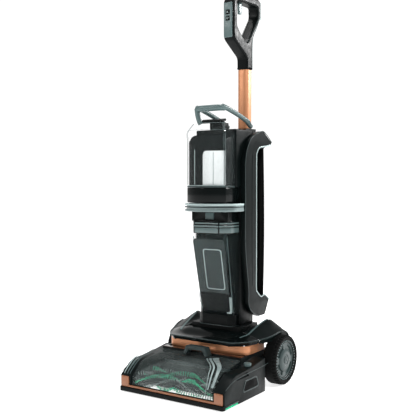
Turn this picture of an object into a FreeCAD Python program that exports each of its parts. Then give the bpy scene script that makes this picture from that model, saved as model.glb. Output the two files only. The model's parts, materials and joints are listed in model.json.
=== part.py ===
import FreeCAD, Part
import math
import os
from collections import namedtuple

import Sketcher
from FreeCAD import Vector

# Upright carpet cleaner. +X is the machine's right, +Y its rear, +Z up, and z = 0 is the floor.
# The origin is on the floor, midway between the bumper's front and the back of the handle loop.

SIZES = (
    ("handle_reach", 454),        # bumper front to the back of the handle loop
    # base
    ("base_half_width", 169),
    ("base_bottom", 2),
    ("bumper_depth", 8),
    ("bumper_top", 14),
    ("lip_top", 20),
    ("lip_end_top", 45),
    ("lip_end_width", 26),
    ("lip_depth", 5),
    ("side_wall", 35),            # thickness of the base's side walls, belt bay included
    ("front_bar", 8),
    ("shoulder_length", 42),      # bumper front to where the side's slope ends
    ("shoulder_height", 70),
    ("wall_length", 136),         # bumper front to the back of the brush chamber
    ("wall_top", 82),
    ("housing_rear", 215),
    ("housing_rear_top", 93),
    ("bay_front", 150),
    ("bay_rear", 204),
    ("bay_side_gap", 43),
    ("floor_thickness", 6),
    ("deck_top", 100),
    ("arm_inset", 37),            # base side to the arm's outer face
    ("arm_width", 28),
    ("arm_tail", 24),
    ("slot_gap", 12),             # arm's inner face to the neck slot
    ("slot_front", 222),
    ("running_fit", 0.05),
    ("seat_gap", 0.3),
    # copper band and hood
    ("band_front", 168),
    ("amber_gap", 1),
    ("amber_thickness", 1.5),
    ("band_rear", 277),
    ("band_wall", 7),
    ("band_height", 25),
    ("band_bow", 900),
    ("band_corner", 25),
    ("hood_front", 150),
    ("hood_undercut", 12),
    ("hood_front_half", 118),
    ("hood_rim_height", 15),
    ("hood_crown", 61),
    ("hood_crown_length", 272),
    ("hood_rear", 358),
    ("hood_skin", 6),
    ("hood_floor", 4),
    ("wheel_well_gap", 10),
    # wheels
    ("wheel_radius", 70),
    ("wheel_length", 309),        # bumper front to the axle
    ("wheel_inset", 24),          # base side to the tyre's inner face
    ("tyre_width", 42),
    ("tyre_height", 12),
    ("cap_radius", 46),
    ("axle_radius", 6),
    ("roller_radius", 8),
    ("roller_length", 130.5),
    ("roller_width", 20),
    ("roller_offset", 111),
    ("roller_shaft", 2.5),
    # brushes and their drive
    ("brush_radius", 24),
    ("brush_height", 30),
    ("brush_front_length", 45),
    ("brush_rear_length", 97),
    ("brush_end_gap", 6),
    ("brush_shaft", 5),
    ("pulley_radius", 13),
    ("pulley_width", 12),
    ("motor_radius", 22),
    ("motor_length", 100),
    ("motor_y", 176),
    ("motor_height", 42),
    ("motor_shaft", 4),
    ("motor_pulley_radius", 9),
    ("belt_thickness", 2),
    ("belt_wall", 5),
    ("cover_thickness", 3.8),
    ("spray_radius", 4),
    ("spray_height", 64),
    # brush window
    ("window_wall", 4),
    ("window_side_gap", 3),
    ("window_rise", 14),
    ("latch_half", 42),
    ("latch_height", 24),
    ("latch_depth", 24),
    ("button_radius", 10),
    ("button_stem", 10),
    ("pedal_length", 52),
    ("pedal_thickness", 8),
    # upright body
    ("neck_top", 165),
    ("neck_front", 228),
    ("neck_rear", 322),
    ("dock_height", 30),
    ("dock_front", 222),
    ("lug_width", 24),
    ("lug_radius", 20),
    ("body_half", 68),
    ("body_front", 250),
    ("body_rear", 318),
    ("body_wall", 4),
    ("frame_width", 16),
    ("cover_wall", 4),
    ("bulge_depth", 23),
    ("bulge_bottom", 205),        # above the dock
    ("bulge_height", 155),
    ("band_gap", 4),
    ("mid_band_height", 42),
    ("shoulder_front", 226),
    ("suction_radius", 28),
    ("suction_height", 80),
    ("impeller_height", 12),
    ("pump_width", 44),
    ("pump_height", 50),
    ("screw_radius", 3.5),
    ("hook_radius", 11),
    ("hook_length", 380),
    ("hook_rise", 18),            # lower hook above the dock
    ("hook_drop", 39),            # upper hook below the shoulder's top
    ("hook_reach", 40),
    # dirty water tank
    ("dirty_height", 234),
    ("dirty_front", 177),
    ("dirty_foot_front", 225),
    ("dirty_half", 65),
    ("dirty_foot_half", 60),
    ("dirty_nose_half", 42),
    ("tank_wall", 3),
    ("lid_height", 35),
    ("lid_neck_height", 48),
    ("lid_neck_front", 196),
    ("lid_neck_half", 62),
    ("bail_radius", 86),
    ("bail_half", 82),
    ("bail_wall", 8),
    ("bail_height", 23),
    ("bail_side", 205),
    ("bail_end", 247),
    ("bail_boss", 6),
    ("separator_half", 31),
    ("separator_front", 220),
    ("separator_height", 178),
    ("float_radius", 7.5),
    ("float_height", 46),
    ("float_x", 40),
    # clean water tank
    ("clean_height", 182),
    ("clean_side", 177),
    ("clean_half", 65),
    ("clean_bow", 107),
    ("clean_base", 5),
    ("clean_bevel", 20),
    ("clean_bevel_height", 35),
    ("liner_wall", 2),
    ("liner_window_half", 24),
    ("liner_window_height", 105),
    ("cap_size", 18),
    ("cap_height", 9),
    ("cap_clearance", 7.5),
    ("grip_half", 48),
    ("grip_width", 10),
    ("grip_front", 184),
    ("grip_depth", 18),
    ("grip_height", 22),
    ("grip_rise", 28),
    ("grip_tail", 362),
    # pole and handle loop
    ("pole_length", 388),         # bumper front to the pole's centre
    ("pole_width", 36),
    ("pole_corner", 13),
    ("pole_wall", 2.5),
    ("pole_seat", 70),            # pole's foot below the shoulder's top
    ("pole_height", 190),         # visible pole above the shoulder's top
    ("socket_wall", 7),
    ("loop_half", 19),
    ("loop_height", 222),
    ("loop_front", 294),
    ("panel_depth", 4),
    ("panel_half", 14),
    ("key_size", 12),
    ("key_depth", 9),
    ("trigger_half", 4),
    ("trigger_pin", 2),
    # cord
    ("cord_diameter", 7),
    ("hank_x", 44),
    ("hank_width", 26),
    ("hank_depth", 16),
    ("gland_length", 32),
    ("gland_radius", 6.5),
    ("plug_width", 24),
    ("plug_length", 36),
    ("plug_rise", 205),
    ("plug_behind", 18),
    ("pin_length", 16),
    ("pin_spread", 6),
    ("pin_thickness", 1.6),
    ("earth_pin_radius", 2.4),
)

Circle = namedtuple("Circle", "u v radius")
PLANES = {"X": "YZ_Plane", "Y": "XZ_Plane", "Z": "XY_Plane"}


class Size:
    """A length that keeps its value and the sheet expression it comes from."""

    def __init__(self, value, text):
        self.value = value
        self.text = text

    def join(self, other, value, pattern):
        return Size(value, pattern.format(self.text, as_size(other).text))

    def __add__(self, other):
        return self.join(other, self.value + as_size(other).value, "({} + {})")

    def __sub__(self, other):
        return self.join(other, self.value - as_size(other).value, "({} - {})")

    def __mul__(self, factor):
        return self.join(factor, self.value * as_size(factor).value, "({} * {})")

    def __truediv__(self, factor):
        return self.join(factor, self.value / as_size(factor).value, "({} / {})")

    def __radd__(self, other):
        return as_size(other) + self

    def __rsub__(self, other):
        return as_size(other) - self

    def __rmul__(self, factor):
        return self * factor

    def __neg__(self):
        return Size(-self.value, "(0 - {})".format(self.text))


def as_size(item):
    if isinstance(item, Size):
        return item
    return Size(float(item), "({})".format(float(item)))


class Dimensions:
    """The sheet's values by name, each as a Size."""


doc = FreeCAD.newDocument("carpet_cleaner")
sheet = doc.addObject("Spreadsheet::Sheet", "dims")
d = Dimensions()
for row, (name, number) in enumerate(SIZES, 1):
    sheet.set("A{}".format(row), name)
    sheet.set("B{}".format(row), str(number))
    sheet.setAlias("B{}".format(row), name)
    setattr(d, name, Size(float(number), "dims." + name))
doc.recompute()

parts = []
front = -d.handle_reach / 2


def y(length):
    """A place given as its distance behind the bumper's front."""
    return front + length


# ---- modelling helpers -------------------------------------------------------------------------

def new_body(name):
    body = doc.addObject("PartDesign::Body", name)
    body.Label = name
    parts.append(body)
    return body


def rectangle(u_low, u_high, v_low, v_high):
    return [(u_low, v_low), (u_high, v_low), (u_high, v_high), (u_low, v_high)]


def span(side, inner, outer):
    """The low and high X of a stretch that lies between inner and outer on one side."""
    return (inner, outer) if side > 0 else (-outer, -inner)


def add_edge(sketch, start, end, radius):
    """A straight edge, or an arc that bows out of an outline drawn anticlockwise."""
    if radius is None:
        return sketch.addGeometry(Part.LineSegment(start, end))
    chord = end - start
    reach = math.sqrt(max(radius.value ** 2 - (chord.Length / 2) ** 2, 0))
    centre = (start + end) / 2 + Vector(-chord.y, chord.x, 0).normalize() * reach
    angles = [math.atan2(point.y - centre.y, point.x - centre.x) for point in (start, end)]
    if angles[1] < angles[0]:
        angles[1] += 2 * math.pi
    circle = Part.Circle(centre, Vector(0, 0, 1), radius.value)
    return sketch.addGeometry(Part.ArcOfCircle(circle, angles[0], angles[1]))


def bind(sketch, kind, name, *where):
    """Adds a dimension to the sketch and ties it to the sheet."""
    length = where[-1]
    index = sketch.addConstraint(Sketcher.Constraint(kind, *where[:-1], length.value))
    sketch.renameConstraint(index, name)
    sketch.setExpression("Constraints." + name, length.text)


def draw(sketch, outline, tag):
    """Draws one closed outline: a Circle, or corners with an optional arc radius each."""
    if isinstance(outline, Circle):
        u, v, radius = (as_size(item) for item in outline)
        edge = sketch.addGeometry(Part.Circle(Vector(u.value, v.value, 0), Vector(0, 0, 1), radius.value))
        bind(sketch, "DistanceX", tag + "u", -1, 1, edge, 3, u)
        bind(sketch, "DistanceY", tag + "v", -1, 1, edge, 3, v)
        bind(sketch, "Radius", tag + "r", edge, radius)
        return
    corners = [tuple(as_size(item) for item in corner) for corner in outline]
    points = [Vector(corner[0].value, corner[1].value, 0) for corner in corners]
    radii = [corner[2] if len(corner) > 2 else None for corner in corners]
    count = len(corners)
    edges = [add_edge(sketch, points[i], points[(i + 1) % count], radii[i]) for i in range(count)]
    for i, edge in enumerate(edges):
        sketch.addConstraint(Sketcher.Constraint("Coincident", edge, 2, edges[(i + 1) % count], 1))
    for i, edge in enumerate(edges):
        bind(sketch, "DistanceX", "{}u{}".format(tag, i), -1, 1, edge, 1, corners[i][0])
        bind(sketch, "DistanceY", "{}v{}".format(tag, i), -1, 1, edge, 1, corners[i][1])
        if radii[i]:
            bind(sketch, "Radius", "{}r{}".format(tag, i), edge, radii[i])


def add_sketch(body, axis, place, outlines):
    """A sketch square to an axis: across X it sees (Y, Z), across Y (X, Z) and across Z (X, Y)."""
    sketch = body.newObject("Sketcher::SketchObject", body.Name + "_sketch")
    plane = next(item for item in body.Origin.OriginFeatures if item.Role == PLANES[axis])
    sketch.AttachmentSupport = (plane, "")
    sketch.MapMode = "FlatFace"
    place = as_size(place)
    sketch.setExpression("AttachmentOffset.Base.z", (-place if axis == "Y" else place).text)
    for index, outline in enumerate(outlines):
        draw(sketch, outline, "loop{}".format(index))
    return sketch


def pad(body, axis, low, high, *outlines):
    """Adds a prism between low and high along the axis."""
    low, high = as_size(low), as_size(high)
    feature = body.newObject("PartDesign::Pad", body.Name + "_pad")
    feature.Profile = add_sketch(body, axis, high if axis == "Y" else low, outlines)
    feature.setExpression("Length", (high - low).text)
    body.Tip = feature
    return feature


def pocket(body, axis, low, high, *outlines):
    """Cuts a prism between low and high along the axis, and checks that it cut."""
    doc.recompute()
    before = body.Shape.Volume
    low, high = as_size(low), as_size(high)
    feature = body.newObject("PartDesign::Pocket", body.Name + "_cut")
    feature.Profile = add_sketch(body, axis, low if axis == "Y" else high, outlines)
    feature.setExpression("Length", (high - low).text)
    body.Tip = feature
    doc.recompute()
    if body.Shape.Volume >= before:
        raise RuntimeError("nothing was cut from " + body.Label)
    return feature


def round_corners(body, axis, corners, radius):
    """Rounds the straight edges that run along the axis through the given corners."""
    doc.recompute()
    base = body.Tip
    places = [[as_size(item).value for item in corner[:2]] for corner in corners]
    names = []
    for index, edge in enumerate(base.Shape.Edges, 1):
        ends = [flatten(vertex.Point, axis) for vertex in edge.Vertexes]
        if len(ends) == 2 and math.dist(*ends) < 1e-4:
            if any(math.dist(ends[0], place) < 1e-3 for place in places):
                names.append("Edge{}".format(index))
    if len(names) < len(places):
        raise RuntimeError("a corner to round is missing on " + body.Label)
    fillet = body.newObject("PartDesign::Fillet", body.Name + "_round")
    fillet.Base = (base, names)
    fillet.setExpression("Radius", as_size(radius).text)
    body.Tip = fillet


def flatten(point, axis):
    """A point as its sketch sees it, across the axis."""
    return {"X": (point.y, point.z), "Y": (point.x, point.z), "Z": (point.x, point.y)}[axis]


def new_feature(name, shape):
    feature = doc.addObject("Part::Feature", name)
    feature.Label = name
    feature.Shape = shape
    parts.append(feature)
    return feature


# ---- shared places -----------------------------------------------------------------------------

axle_z = d.wheel_radius
axle_y = y(d.wheel_length)
chamber_half = d.base_half_width - d.side_wall
arm_outer = d.base_half_width - d.arm_inset
arm_inner = arm_outer - d.arm_width
slot_half = arm_inner - d.slot_gap
neck_half = slot_half - 8
bay_half = d.base_half_width - d.bay_side_gap
tyre_inner = d.base_half_width - d.wheel_inset
tyre_outer = tyre_inner + d.tyre_width
band_bottom = d.deck_top
band_top = band_bottom + d.band_height
brush_places = {"brush_roll_front": y(d.brush_front_length), "brush_roll_rear": y(d.brush_rear_length)}
belt_side = -(chamber_half + d.belt_wall)
cover_side = -(d.base_half_width - d.cover_thickness)
pulley_right = belt_side - 6
pulley_left = pulley_right - d.pulley_width
motor_y = y(d.motor_y)
motor_left = -(bay_half - 14)

dock_top = d.neck_top + d.dock_height
dirty_bottom = dock_top + d.seat_gap
dirty_top = dirty_bottom + d.dirty_height
lid_top = dirty_top + d.lid_height
lid_neck_top = lid_top + d.lid_neck_height
mid_band_bottom = lid_neck_top + d.band_gap
mid_band_top = mid_band_bottom + d.mid_band_height
clean_bottom = mid_band_top + d.seat_gap
clean_top = clean_bottom + d.clean_height
shoulder_top = clean_top - 17
frame_inner = d.body_half + d.seat_gap
frame_outer = frame_inner + d.frame_width
cover_rear = y(d.body_rear) + d.cover_wall
bulge_rear = cover_rear + d.bulge_depth
gland_y = (cover_rear + d.bulge_depth / 2).value
gland_top = (dock_top + d.bulge_bottom).value
cap_y = y(d.clean_side) + 15
hook_y = y(d.hook_length)
hook_low = dock_top + d.hook_rise
hook_high = shoulder_top - d.hook_drop
pole_y = y(d.pole_length)
pole_half = d.pole_width / 2
pole_foot = shoulder_top - d.pole_seat
loop_bottom = shoulder_top + d.pole_height
loop_top = loop_bottom + d.loop_height


# ---- base --------------------------------------------------------------------------------------

def base_side_outline():
    """The base's side: a sloped nose, a nearly flat top and an upright rear."""
    return [
        (y(d.bumper_depth), d.base_bottom),
        (y(d.housing_rear), d.base_bottom),
        (y(d.housing_rear), d.housing_rear_top),
        (y(d.wall_length), d.wall_top),
        (y(d.shoulder_length) + 18, d.shoulder_height + 8),
        (y(d.shoulder_length), d.shoulder_height),
        (y(d.bumper_depth), d.lip_end_top),
    ]


def make_base_housing():
    body = new_body("base_housing")
    half = d.base_half_width
    pad(body, "X", -half, half, base_side_outline())
    deck = rectangle(-arm_outer, arm_outer, y(d.bay_front) - 2, y(d.housing_rear))
    pad(body, "Z", d.wall_top - 4, d.deck_top, deck)
    arm = [
        (y(d.housing_rear) - 2, 20),
        (axle_y, axle_z - d.arm_tail),
        (axle_y + d.arm_tail, axle_z - 10),
        (axle_y + d.arm_tail, axle_z + 14),
        (axle_y - 9, d.deck_top),
        (y(d.housing_rear) - 2, d.deck_top),
    ]
    for side in (1, -1):
        pad(body, "X", *span(side, arm_inner, arm_outer), arm)
    chamber_front = y(d.bumper_depth) + d.front_bar
    chamber = rectangle(-chamber_half, chamber_half, chamber_front, y(d.wall_length) + 4)
    pocket(body, "Z", 0, d.deck_top + 1, chamber)
    mouth = rectangle(-chamber_half, chamber_half, d.lip_top, d.deck_top)
    pocket(body, "Y", y(0), chamber_front + 1, mouth)
    bay = rectangle(-bay_half, bay_half, y(d.bay_front), y(d.bay_rear))
    pocket(body, "Z", d.base_bottom + d.floor_thickness, d.deck_top + 1, bay)
    for side in (1, -1):
        recess = [(y(64), 64), (y(128), 64), (y(120), 76), (y(72), 76)]
        pocket(body, "X", *span(side, half - 4, half + 1), recess)
        skirt = rectangle(y(13), y(75), 0, 12)
        pocket(body, "X", *span(side, half - 5, half + 1), skirt)
    belt_bay = rectangle(y(d.brush_front_length) - 17, motor_y + 14, 13, 60)
    pocket(body, "X", -half - 1, belt_side, belt_bay)
    shafts = [Circle(place, d.brush_height, d.brush_shaft + d.running_fit) for place in brush_places.values()]
    pocket(body, "X", belt_side - 1, -chamber_half + 1, *shafts)
    pocket(body, "X", chamber_half - 1, chamber_half + 15, *shafts)
    pocket(body, "X", belt_side - 1, -bay_half + 1, Circle(motor_y, d.motor_height, d.motor_shaft + 1))
    axle_bore = Circle(axle_y, axle_z, d.axle_radius + d.running_fit)
    for side in (1, -1):
        pocket(body, "X", *span(side, arm_inner - 1, arm_outer + 1), axle_bore)
    button_bore = Circle(chamber_half + d.side_wall / 2, y(d.bay_front), d.button_radius + d.seat_gap)
    pocket(body, "Z", d.wall_top - d.button_stem - 4, d.deck_top + 1, button_bore)
    # Cradle ribs under the brush motor, and lugs that carry the roller shaft.
    rib = rectangle(motor_y - 14, motor_y + 14, d.base_bottom + 4, d.motor_height - d.motor_radius - d.seat_gap)
    for offset in (12, d.motor_length - 18):
        pad(body, "X", motor_left + offset, motor_left + offset + 6, rib)
    lug = rectangle(y(d.roller_length) - 4, y(d.wall_length) + 6, 3, 14)
    inner = d.roller_offset - d.roller_width / 2 - 4
    for side in (1, -1):
        pad(body, "X", *span(side, inner, inner + 3), lug)
    shaft = Circle(y(d.roller_length), d.roller_radius, d.roller_shaft + d.running_fit)
    pocket(body, "X", -inner - 4, inner + 4, shaft)


def make_front():
    half = d.base_half_width
    bumper = new_body("front_bumper")
    pad(bumper, "Z", d.base_bottom, d.bumper_top, rectangle(-half, half, y(0), y(d.bumper_depth)))
    round_corners(bumper, "Z", [(-half, y(0)), (half, y(0))], d.bumper_depth * 0.8)
    lip = new_body("copper_lip")
    inner = half - 4 - d.lip_end_width
    outline = [
        (-half + 4, d.bumper_top),
        (half - 4, d.bumper_top),
        (half - 4, d.lip_end_top - 2),
        (inner, d.lip_end_top - 2),
        (inner, d.lip_top),
        (-inner, d.lip_top),
        (-inner, d.lip_end_top - 2),
        (-half + 4, d.lip_end_top - 2),
    ]
    pad(lip, "Y", y(d.bumper_depth) - d.lip_depth, y(d.bumper_depth), outline)
    strip = rectangle(y(14), y(74), d.base_bottom + 1, 11.5)
    brushes = new_body("edge_brushes")
    brushes.AllowCompound = True
    for side in (1, -1):
        pad(brushes, "X", *span(side, half - 4.7, half + 2), strip)


def window_line(drop):
    """The brush window's side line from its rear edge to its front foot, drop under its outside."""
    return [
        (y(d.bay_front) - 4, d.wall_top + d.window_rise - drop),
        (y(d.bay_front) - 39, d.wall_top + d.window_rise - 7 - drop),
        (y(d.shoulder_length) + 18, d.shoulder_height + d.window_rise - 1 - drop),
        (y(d.shoulder_length) + drop * 0.6, d.shoulder_height + 4 - drop * 0.75),
        (y(9) + drop, d.lip_end_top - drop * 0.5),
        (y(9) + drop, d.lip_top + 1.5),
    ]


def make_window():
    half = chamber_half - d.window_side_gap
    window = new_body("brush_window")
    inside = window_line(d.window_wall)
    pad(window, "X", -half, half, window_line(0) + inside[::-1])
    duct = new_body("suction_duct")
    gap = d.window_wall + d.seat_gap
    lower = window_line(gap + 5)
    pad(duct, "X", -half + 7, half - 7, window_line(gap) + lower[::-1])
    for side in (1, -1):
        fan = [
            (side * 30, y(d.bay_front) + 4),
            (side * 34, y(113)),
            (side * 79, y(59)),
            ((half - 7) * side, y(26)),
            ((half + 4) * side, y(26)),
            ((half + 4) * side, y(d.bay_front) + 4),
        ]
        pocket(duct, "Z", 0, d.deck_top, fan)
    latch = new_body("window_latch")
    foot = d.wall_top + d.window_rise + d.seat_gap
    arch = [
        (-d.latch_half, foot),
        (-d.latch_half + 12, foot),
        (-d.latch_half + 20, foot + d.latch_height * 0.55),
        (d.latch_half - 20, foot + d.latch_height * 0.55),
        (d.latch_half - 12, foot),
        (d.latch_half, foot),
        (d.latch_half - 10, foot + d.latch_height),
        (-d.latch_half + 10, foot + d.latch_height),
    ]
    rear = y(d.bay_front) - 4
    pad(latch, "Y", rear - d.latch_depth, rear, arch)
    deck = new_body("amber_deck")
    plate = rectangle(-half, half, y(d.bay_front) - 2, y(d.band_front) - d.amber_gap)
    amber_foot = d.deck_top + d.seat_gap
    pad(deck, "Z", amber_foot, amber_foot + d.amber_thickness, plate)
    button = new_body("release_button")
    centre = Circle(chamber_half + d.side_wall / 2, y(d.bay_front), d.button_radius)
    pad(button, "Z", d.wall_top - d.button_stem + 1, d.housing_rear_top - 2, centre)


def make_hood():
    band = new_body("copper_band")
    rear = y(d.band_rear)
    outer = [(-arm_outer, rear), (-arm_outer, y(d.band_front) + 10, d.band_bow),
             (arm_outer, y(d.band_front) + 10), (arm_outer, rear)]
    inside = arm_outer - d.band_wall
    inner = [(-inside, rear + 1), (-inside, y(d.band_front) + 10 + d.band_wall),
             (inside, y(d.band_front) + 10 + d.band_wall), (inside, rear + 1)]
    pad(band, "Z", band_bottom, band_top, outer)
    round_corners(band, "Z", [outer[1], outer[2]], d.band_corner)
    pocket(band, "Z", band_bottom - 1, band_top + 1, inner)

    hood = new_body("base_hood")
    half = d.base_half_width + 1
    crest = band_top + d.hood_crown
    rim = band_top + d.hood_rim_height

    def profile(skin, bottom):
        return [
            (y(d.hood_front) + d.hood_undercut + skin, bottom),
            (y(d.hood_rear) - skin, bottom),
            (y(d.hood_rear) - skin, rim),
            (y(d.hood_rear) - 33 - skin * 0.3, crest - 10 - skin),
            (y(d.hood_crown_length), crest - skin),
            (y(d.hood_crown_length) - 32, crest - 10 - skin),
            (y(d.hood_crown_length) - 75, rim + 12 - skin),
            (y(d.hood_front) + skin, rim - skin),
        ]

    pad(hood, "X", -half, half, profile(0, band_top))
    for side in (1, -1):
        cheek = [
            (side * d.hood_front_half, y(d.hood_front) - 8),
            ((arm_outer + 8) * side, y(d.hood_front) + 39),
            ((half - 15) * side, y(d.hood_front) + 84),
            (half * side, y(d.hood_front) + 125),
            ((half + 5) * side, y(d.hood_front) + 125),
            ((half + 5) * side, y(d.hood_front) - 8),
        ]
        pocket(hood, "Z", band_top - 1, crest + 1, cheek)
        well = Circle(axle_y, axle_z, d.wheel_radius + d.wheel_well_gap)
        pocket(hood, "X", *span(side, tyre_inner - 4, half + 1), well)
    inner_half = arm_outer - d.hood_skin
    pocket(hood, "X", -inner_half, inner_half, profile(d.hood_skin, band_top + d.hood_floor))
    slot = rectangle(-slot_half, slot_half, y(d.slot_front), y(d.hood_rear) + 1)
    pocket(hood, "Z", band_top - 1, crest + 1, slot)


def make_wheels():
    axle = new_body("rear_axle")
    pad(axle, "X", -tyre_outer + 7, tyre_outer - 7, Circle(axle_y, axle_z, d.axle_radius))
    rim_radius = d.wheel_radius - d.tyre_height
    for side, word in ((1, "right"), (-1, "left")):
        tyre = new_body("tyre_" + word)
        ring = (Circle(axle_y, axle_z, d.wheel_radius), Circle(axle_y, axle_z, rim_radius))
        pad(tyre, "X", *span(side, tyre_inner, tyre_outer), *ring)
        hub = new_body("wheel_hub_" + word)
        bore = Circle(axle_y, axle_z, d.axle_radius + d.running_fit)
        disc = Circle(axle_y, axle_z, rim_radius - d.running_fit)
        pad(hub, "X", *span(side, tyre_inner + 2, tyre_outer - 5), disc, bore)
        dish = (Circle(axle_y, axle_z, rim_radius - 8), Circle(axle_y, axle_z, d.axle_radius + 8))
        pocket(hub, "X", *span(side, tyre_inner, tyre_inner + 14), *dish)
        pad(hub, "X", *span(side, tyre_outer - 6, tyre_outer - 1), Circle(axle_y, axle_z, d.cap_radius))
    roller = new_body("front_rollers")
    place = y(d.roller_length)
    inner = d.roller_offset - d.roller_width / 2
    pad(roller, "X", -inner, inner, Circle(place, d.roller_radius, d.roller_shaft))
    for side in (1, -1):
        wheel = Circle(place, d.roller_radius, d.roller_radius)
        pad(roller, "X", *span(side, inner, inner + d.roller_width), wheel)


def make_drive():
    for name, place in brush_places.items():
        roll = new_body(name)
        half = chamber_half - d.brush_end_gap
        pad(roll, "X", -half, half, Circle(place, d.brush_height, d.brush_radius))
        shaft = Circle(place, d.brush_height, d.brush_shaft)
        pad(roll, "X", pulley_right - 1, chamber_half + 14, shaft)
        pulley = Circle(place, d.brush_height, d.pulley_radius)
        pad(roll, "X", pulley_left, pulley_right, pulley)
    motor = new_body("brush_motor")
    pad(motor, "X", motor_left, motor_left + d.motor_length, Circle(motor_y, d.motor_height, d.motor_radius))
    shaft = new_body("motor_pulley")
    pad(shaft, "X", pulley_right, motor_left - d.seat_gap, Circle(motor_y, d.motor_height, d.motor_shaft))
    pulley = Circle(motor_y, d.motor_height, d.motor_pulley_radius)
    pad(shaft, "X", pulley_left, pulley_right, pulley)
    new_feature("drive_belt", belt_shape())
    cover = new_body("belt_cover")
    outline = rectangle(y(d.brush_front_length) - 16.7, motor_y + 13.7, 13.3, 59.7)
    pad(cover, "X", -d.base_half_width, cover_side, outline)
    spray = new_body("spray_bar")
    centre = Circle(y(d.wall_length) + 4 - d.spray_radius - d.seat_gap, d.spray_height, d.spray_radius)
    pad(spray, "X", -chamber_half + 20, chamber_half - 20, centre)
    nozzle_half = chamber_half * 0.5
    for place in (-nozzle_half, as_size(0), nozzle_half):
        tip = rectangle(place - 3, place + 3, centre.u - 2, centre.u + 2)
        pad(spray, "Z", d.spray_height - d.spray_radius - 4, d.spray_height - 1, tip)
    pedal = new_body("recline_pedal")
    pivot = axle_y + d.arm_tail + 5.5
    height = axle_z + 2
    low, high = -arm_outer + 3, -arm_inner - 3
    pad(pedal, "X", low, high, Circle(pivot, height, 5))
    pad(pedal, "X", low, high, [
        (pivot, height + 5 - d.pedal_thickness),
        (pivot + d.pedal_length, height + 5 - d.pedal_thickness + 6),
        (pivot + d.pedal_length, height + 11),
        (pivot, height + 5),
    ])


def belt_shape():
    """A flat belt that goes round the motor pulley and both brush pulleys."""
    rings = [(place.value, d.brush_height.value, d.pulley_radius.value) for place in brush_places.values()]
    rings.append((motor_y.value, d.motor_height.value, d.motor_pulley_radius.value))
    inner = hull_solid(rings, d.seat_gap.value * 2)
    outer = hull_solid(rings, d.seat_gap.value * 2 + d.belt_thickness.value)
    return outer.cut(inner).Solids[0]


def hull_solid(rings, grow):
    """The prism inside a tight band round several circles, each given as (y, z, radius)."""
    left = pulley_left.value + 1
    along = Vector(d.pulley_width.value - 2, 0, 0)
    pieces = []
    for i, (y_a, z_a, r_a) in enumerate(rings):
        pieces.append(Part.makeCylinder(r_a + grow, along.x, Vector(left, y_a, z_a), Vector(1, 0, 0)))
        for y_b, z_b, r_b in rings[i + 1:]:
            quad = Part.makePolygon(tangent_quad(y_a, z_a, r_a, y_b, z_b, r_b, grow))
            quad.translate(Vector(left, 0, 0))
            pieces.append(Part.Face(quad).extrude(along))
    return pieces[0].multiFuse(pieces[1:]).removeSplitter()


def tangent_quad(y_a, z_a, r_a, y_b, z_b, r_b, grow):
    """The corners where two circles' outer tangents touch them, closed."""
    gap = math.dist((y_a, z_a), (y_b, z_b))
    heading = math.atan2(z_b - z_a, y_b - y_a)
    lean = math.acos((r_a - r_b) / gap)
    corners = []
    for angle, (cy, cz, radius) in (
        (heading + lean, (y_a, z_a, r_a)),
        (heading + lean, (y_b, z_b, r_b)),
        (heading - lean, (y_b, z_b, r_b)),
        (heading - lean, (y_a, z_a, r_a)),
    ):
        reach = radius + grow
        corners.append(Vector(0, cy + reach * math.cos(angle), cz + reach * math.sin(angle)))
    return corners + corners[:1]


# ---- upright body ------------------------------------------------------------------------------

def make_neck():
    neck = new_body("neck")
    top = d.neck_top
    lug = [
        (axle_y - d.lug_radius, axle_z - 12),
        (axle_y - 10, axle_z - d.lug_radius),
        (axle_y + 10, axle_z - d.lug_radius),
        (axle_y + d.lug_radius, axle_z - 12),
        (y(d.neck_rear), top),
        (y(d.body_front), top),
        (y(d.body_front), top - 20),
        (axle_y - d.lug_radius, axle_z + 30),
    ]
    lug_outer = neck_half
    for side in (1, -1):
        pad(neck, "X", *span(side, lug_outer - d.lug_width, lug_outer), lug)
    platform = rectangle(-neck_half, neck_half, y(d.neck_front), y(d.neck_rear))
    pad(neck, "Z", top - 15, top, platform)
    dock = [
        (-d.dirty_foot_half, y(d.body_front) - 0.3),
        (-d.dirty_foot_half, y(d.dock_front) + 12),
        (-d.dirty_nose_half, y(d.dock_front)),
        (d.dirty_nose_half, y(d.dock_front)),
        (d.dirty_foot_half, y(d.dock_front) + 12),
        (d.dirty_foot_half, y(d.body_front) - 0.3),
    ]
    pad(neck, "Z", top - 2, dock_top, dock)
    bore = Circle(axle_y, axle_z, d.axle_radius + d.running_fit)
    pocket(neck, "X", -lug_outer - 1, lug_outer + 1, bore)


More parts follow.
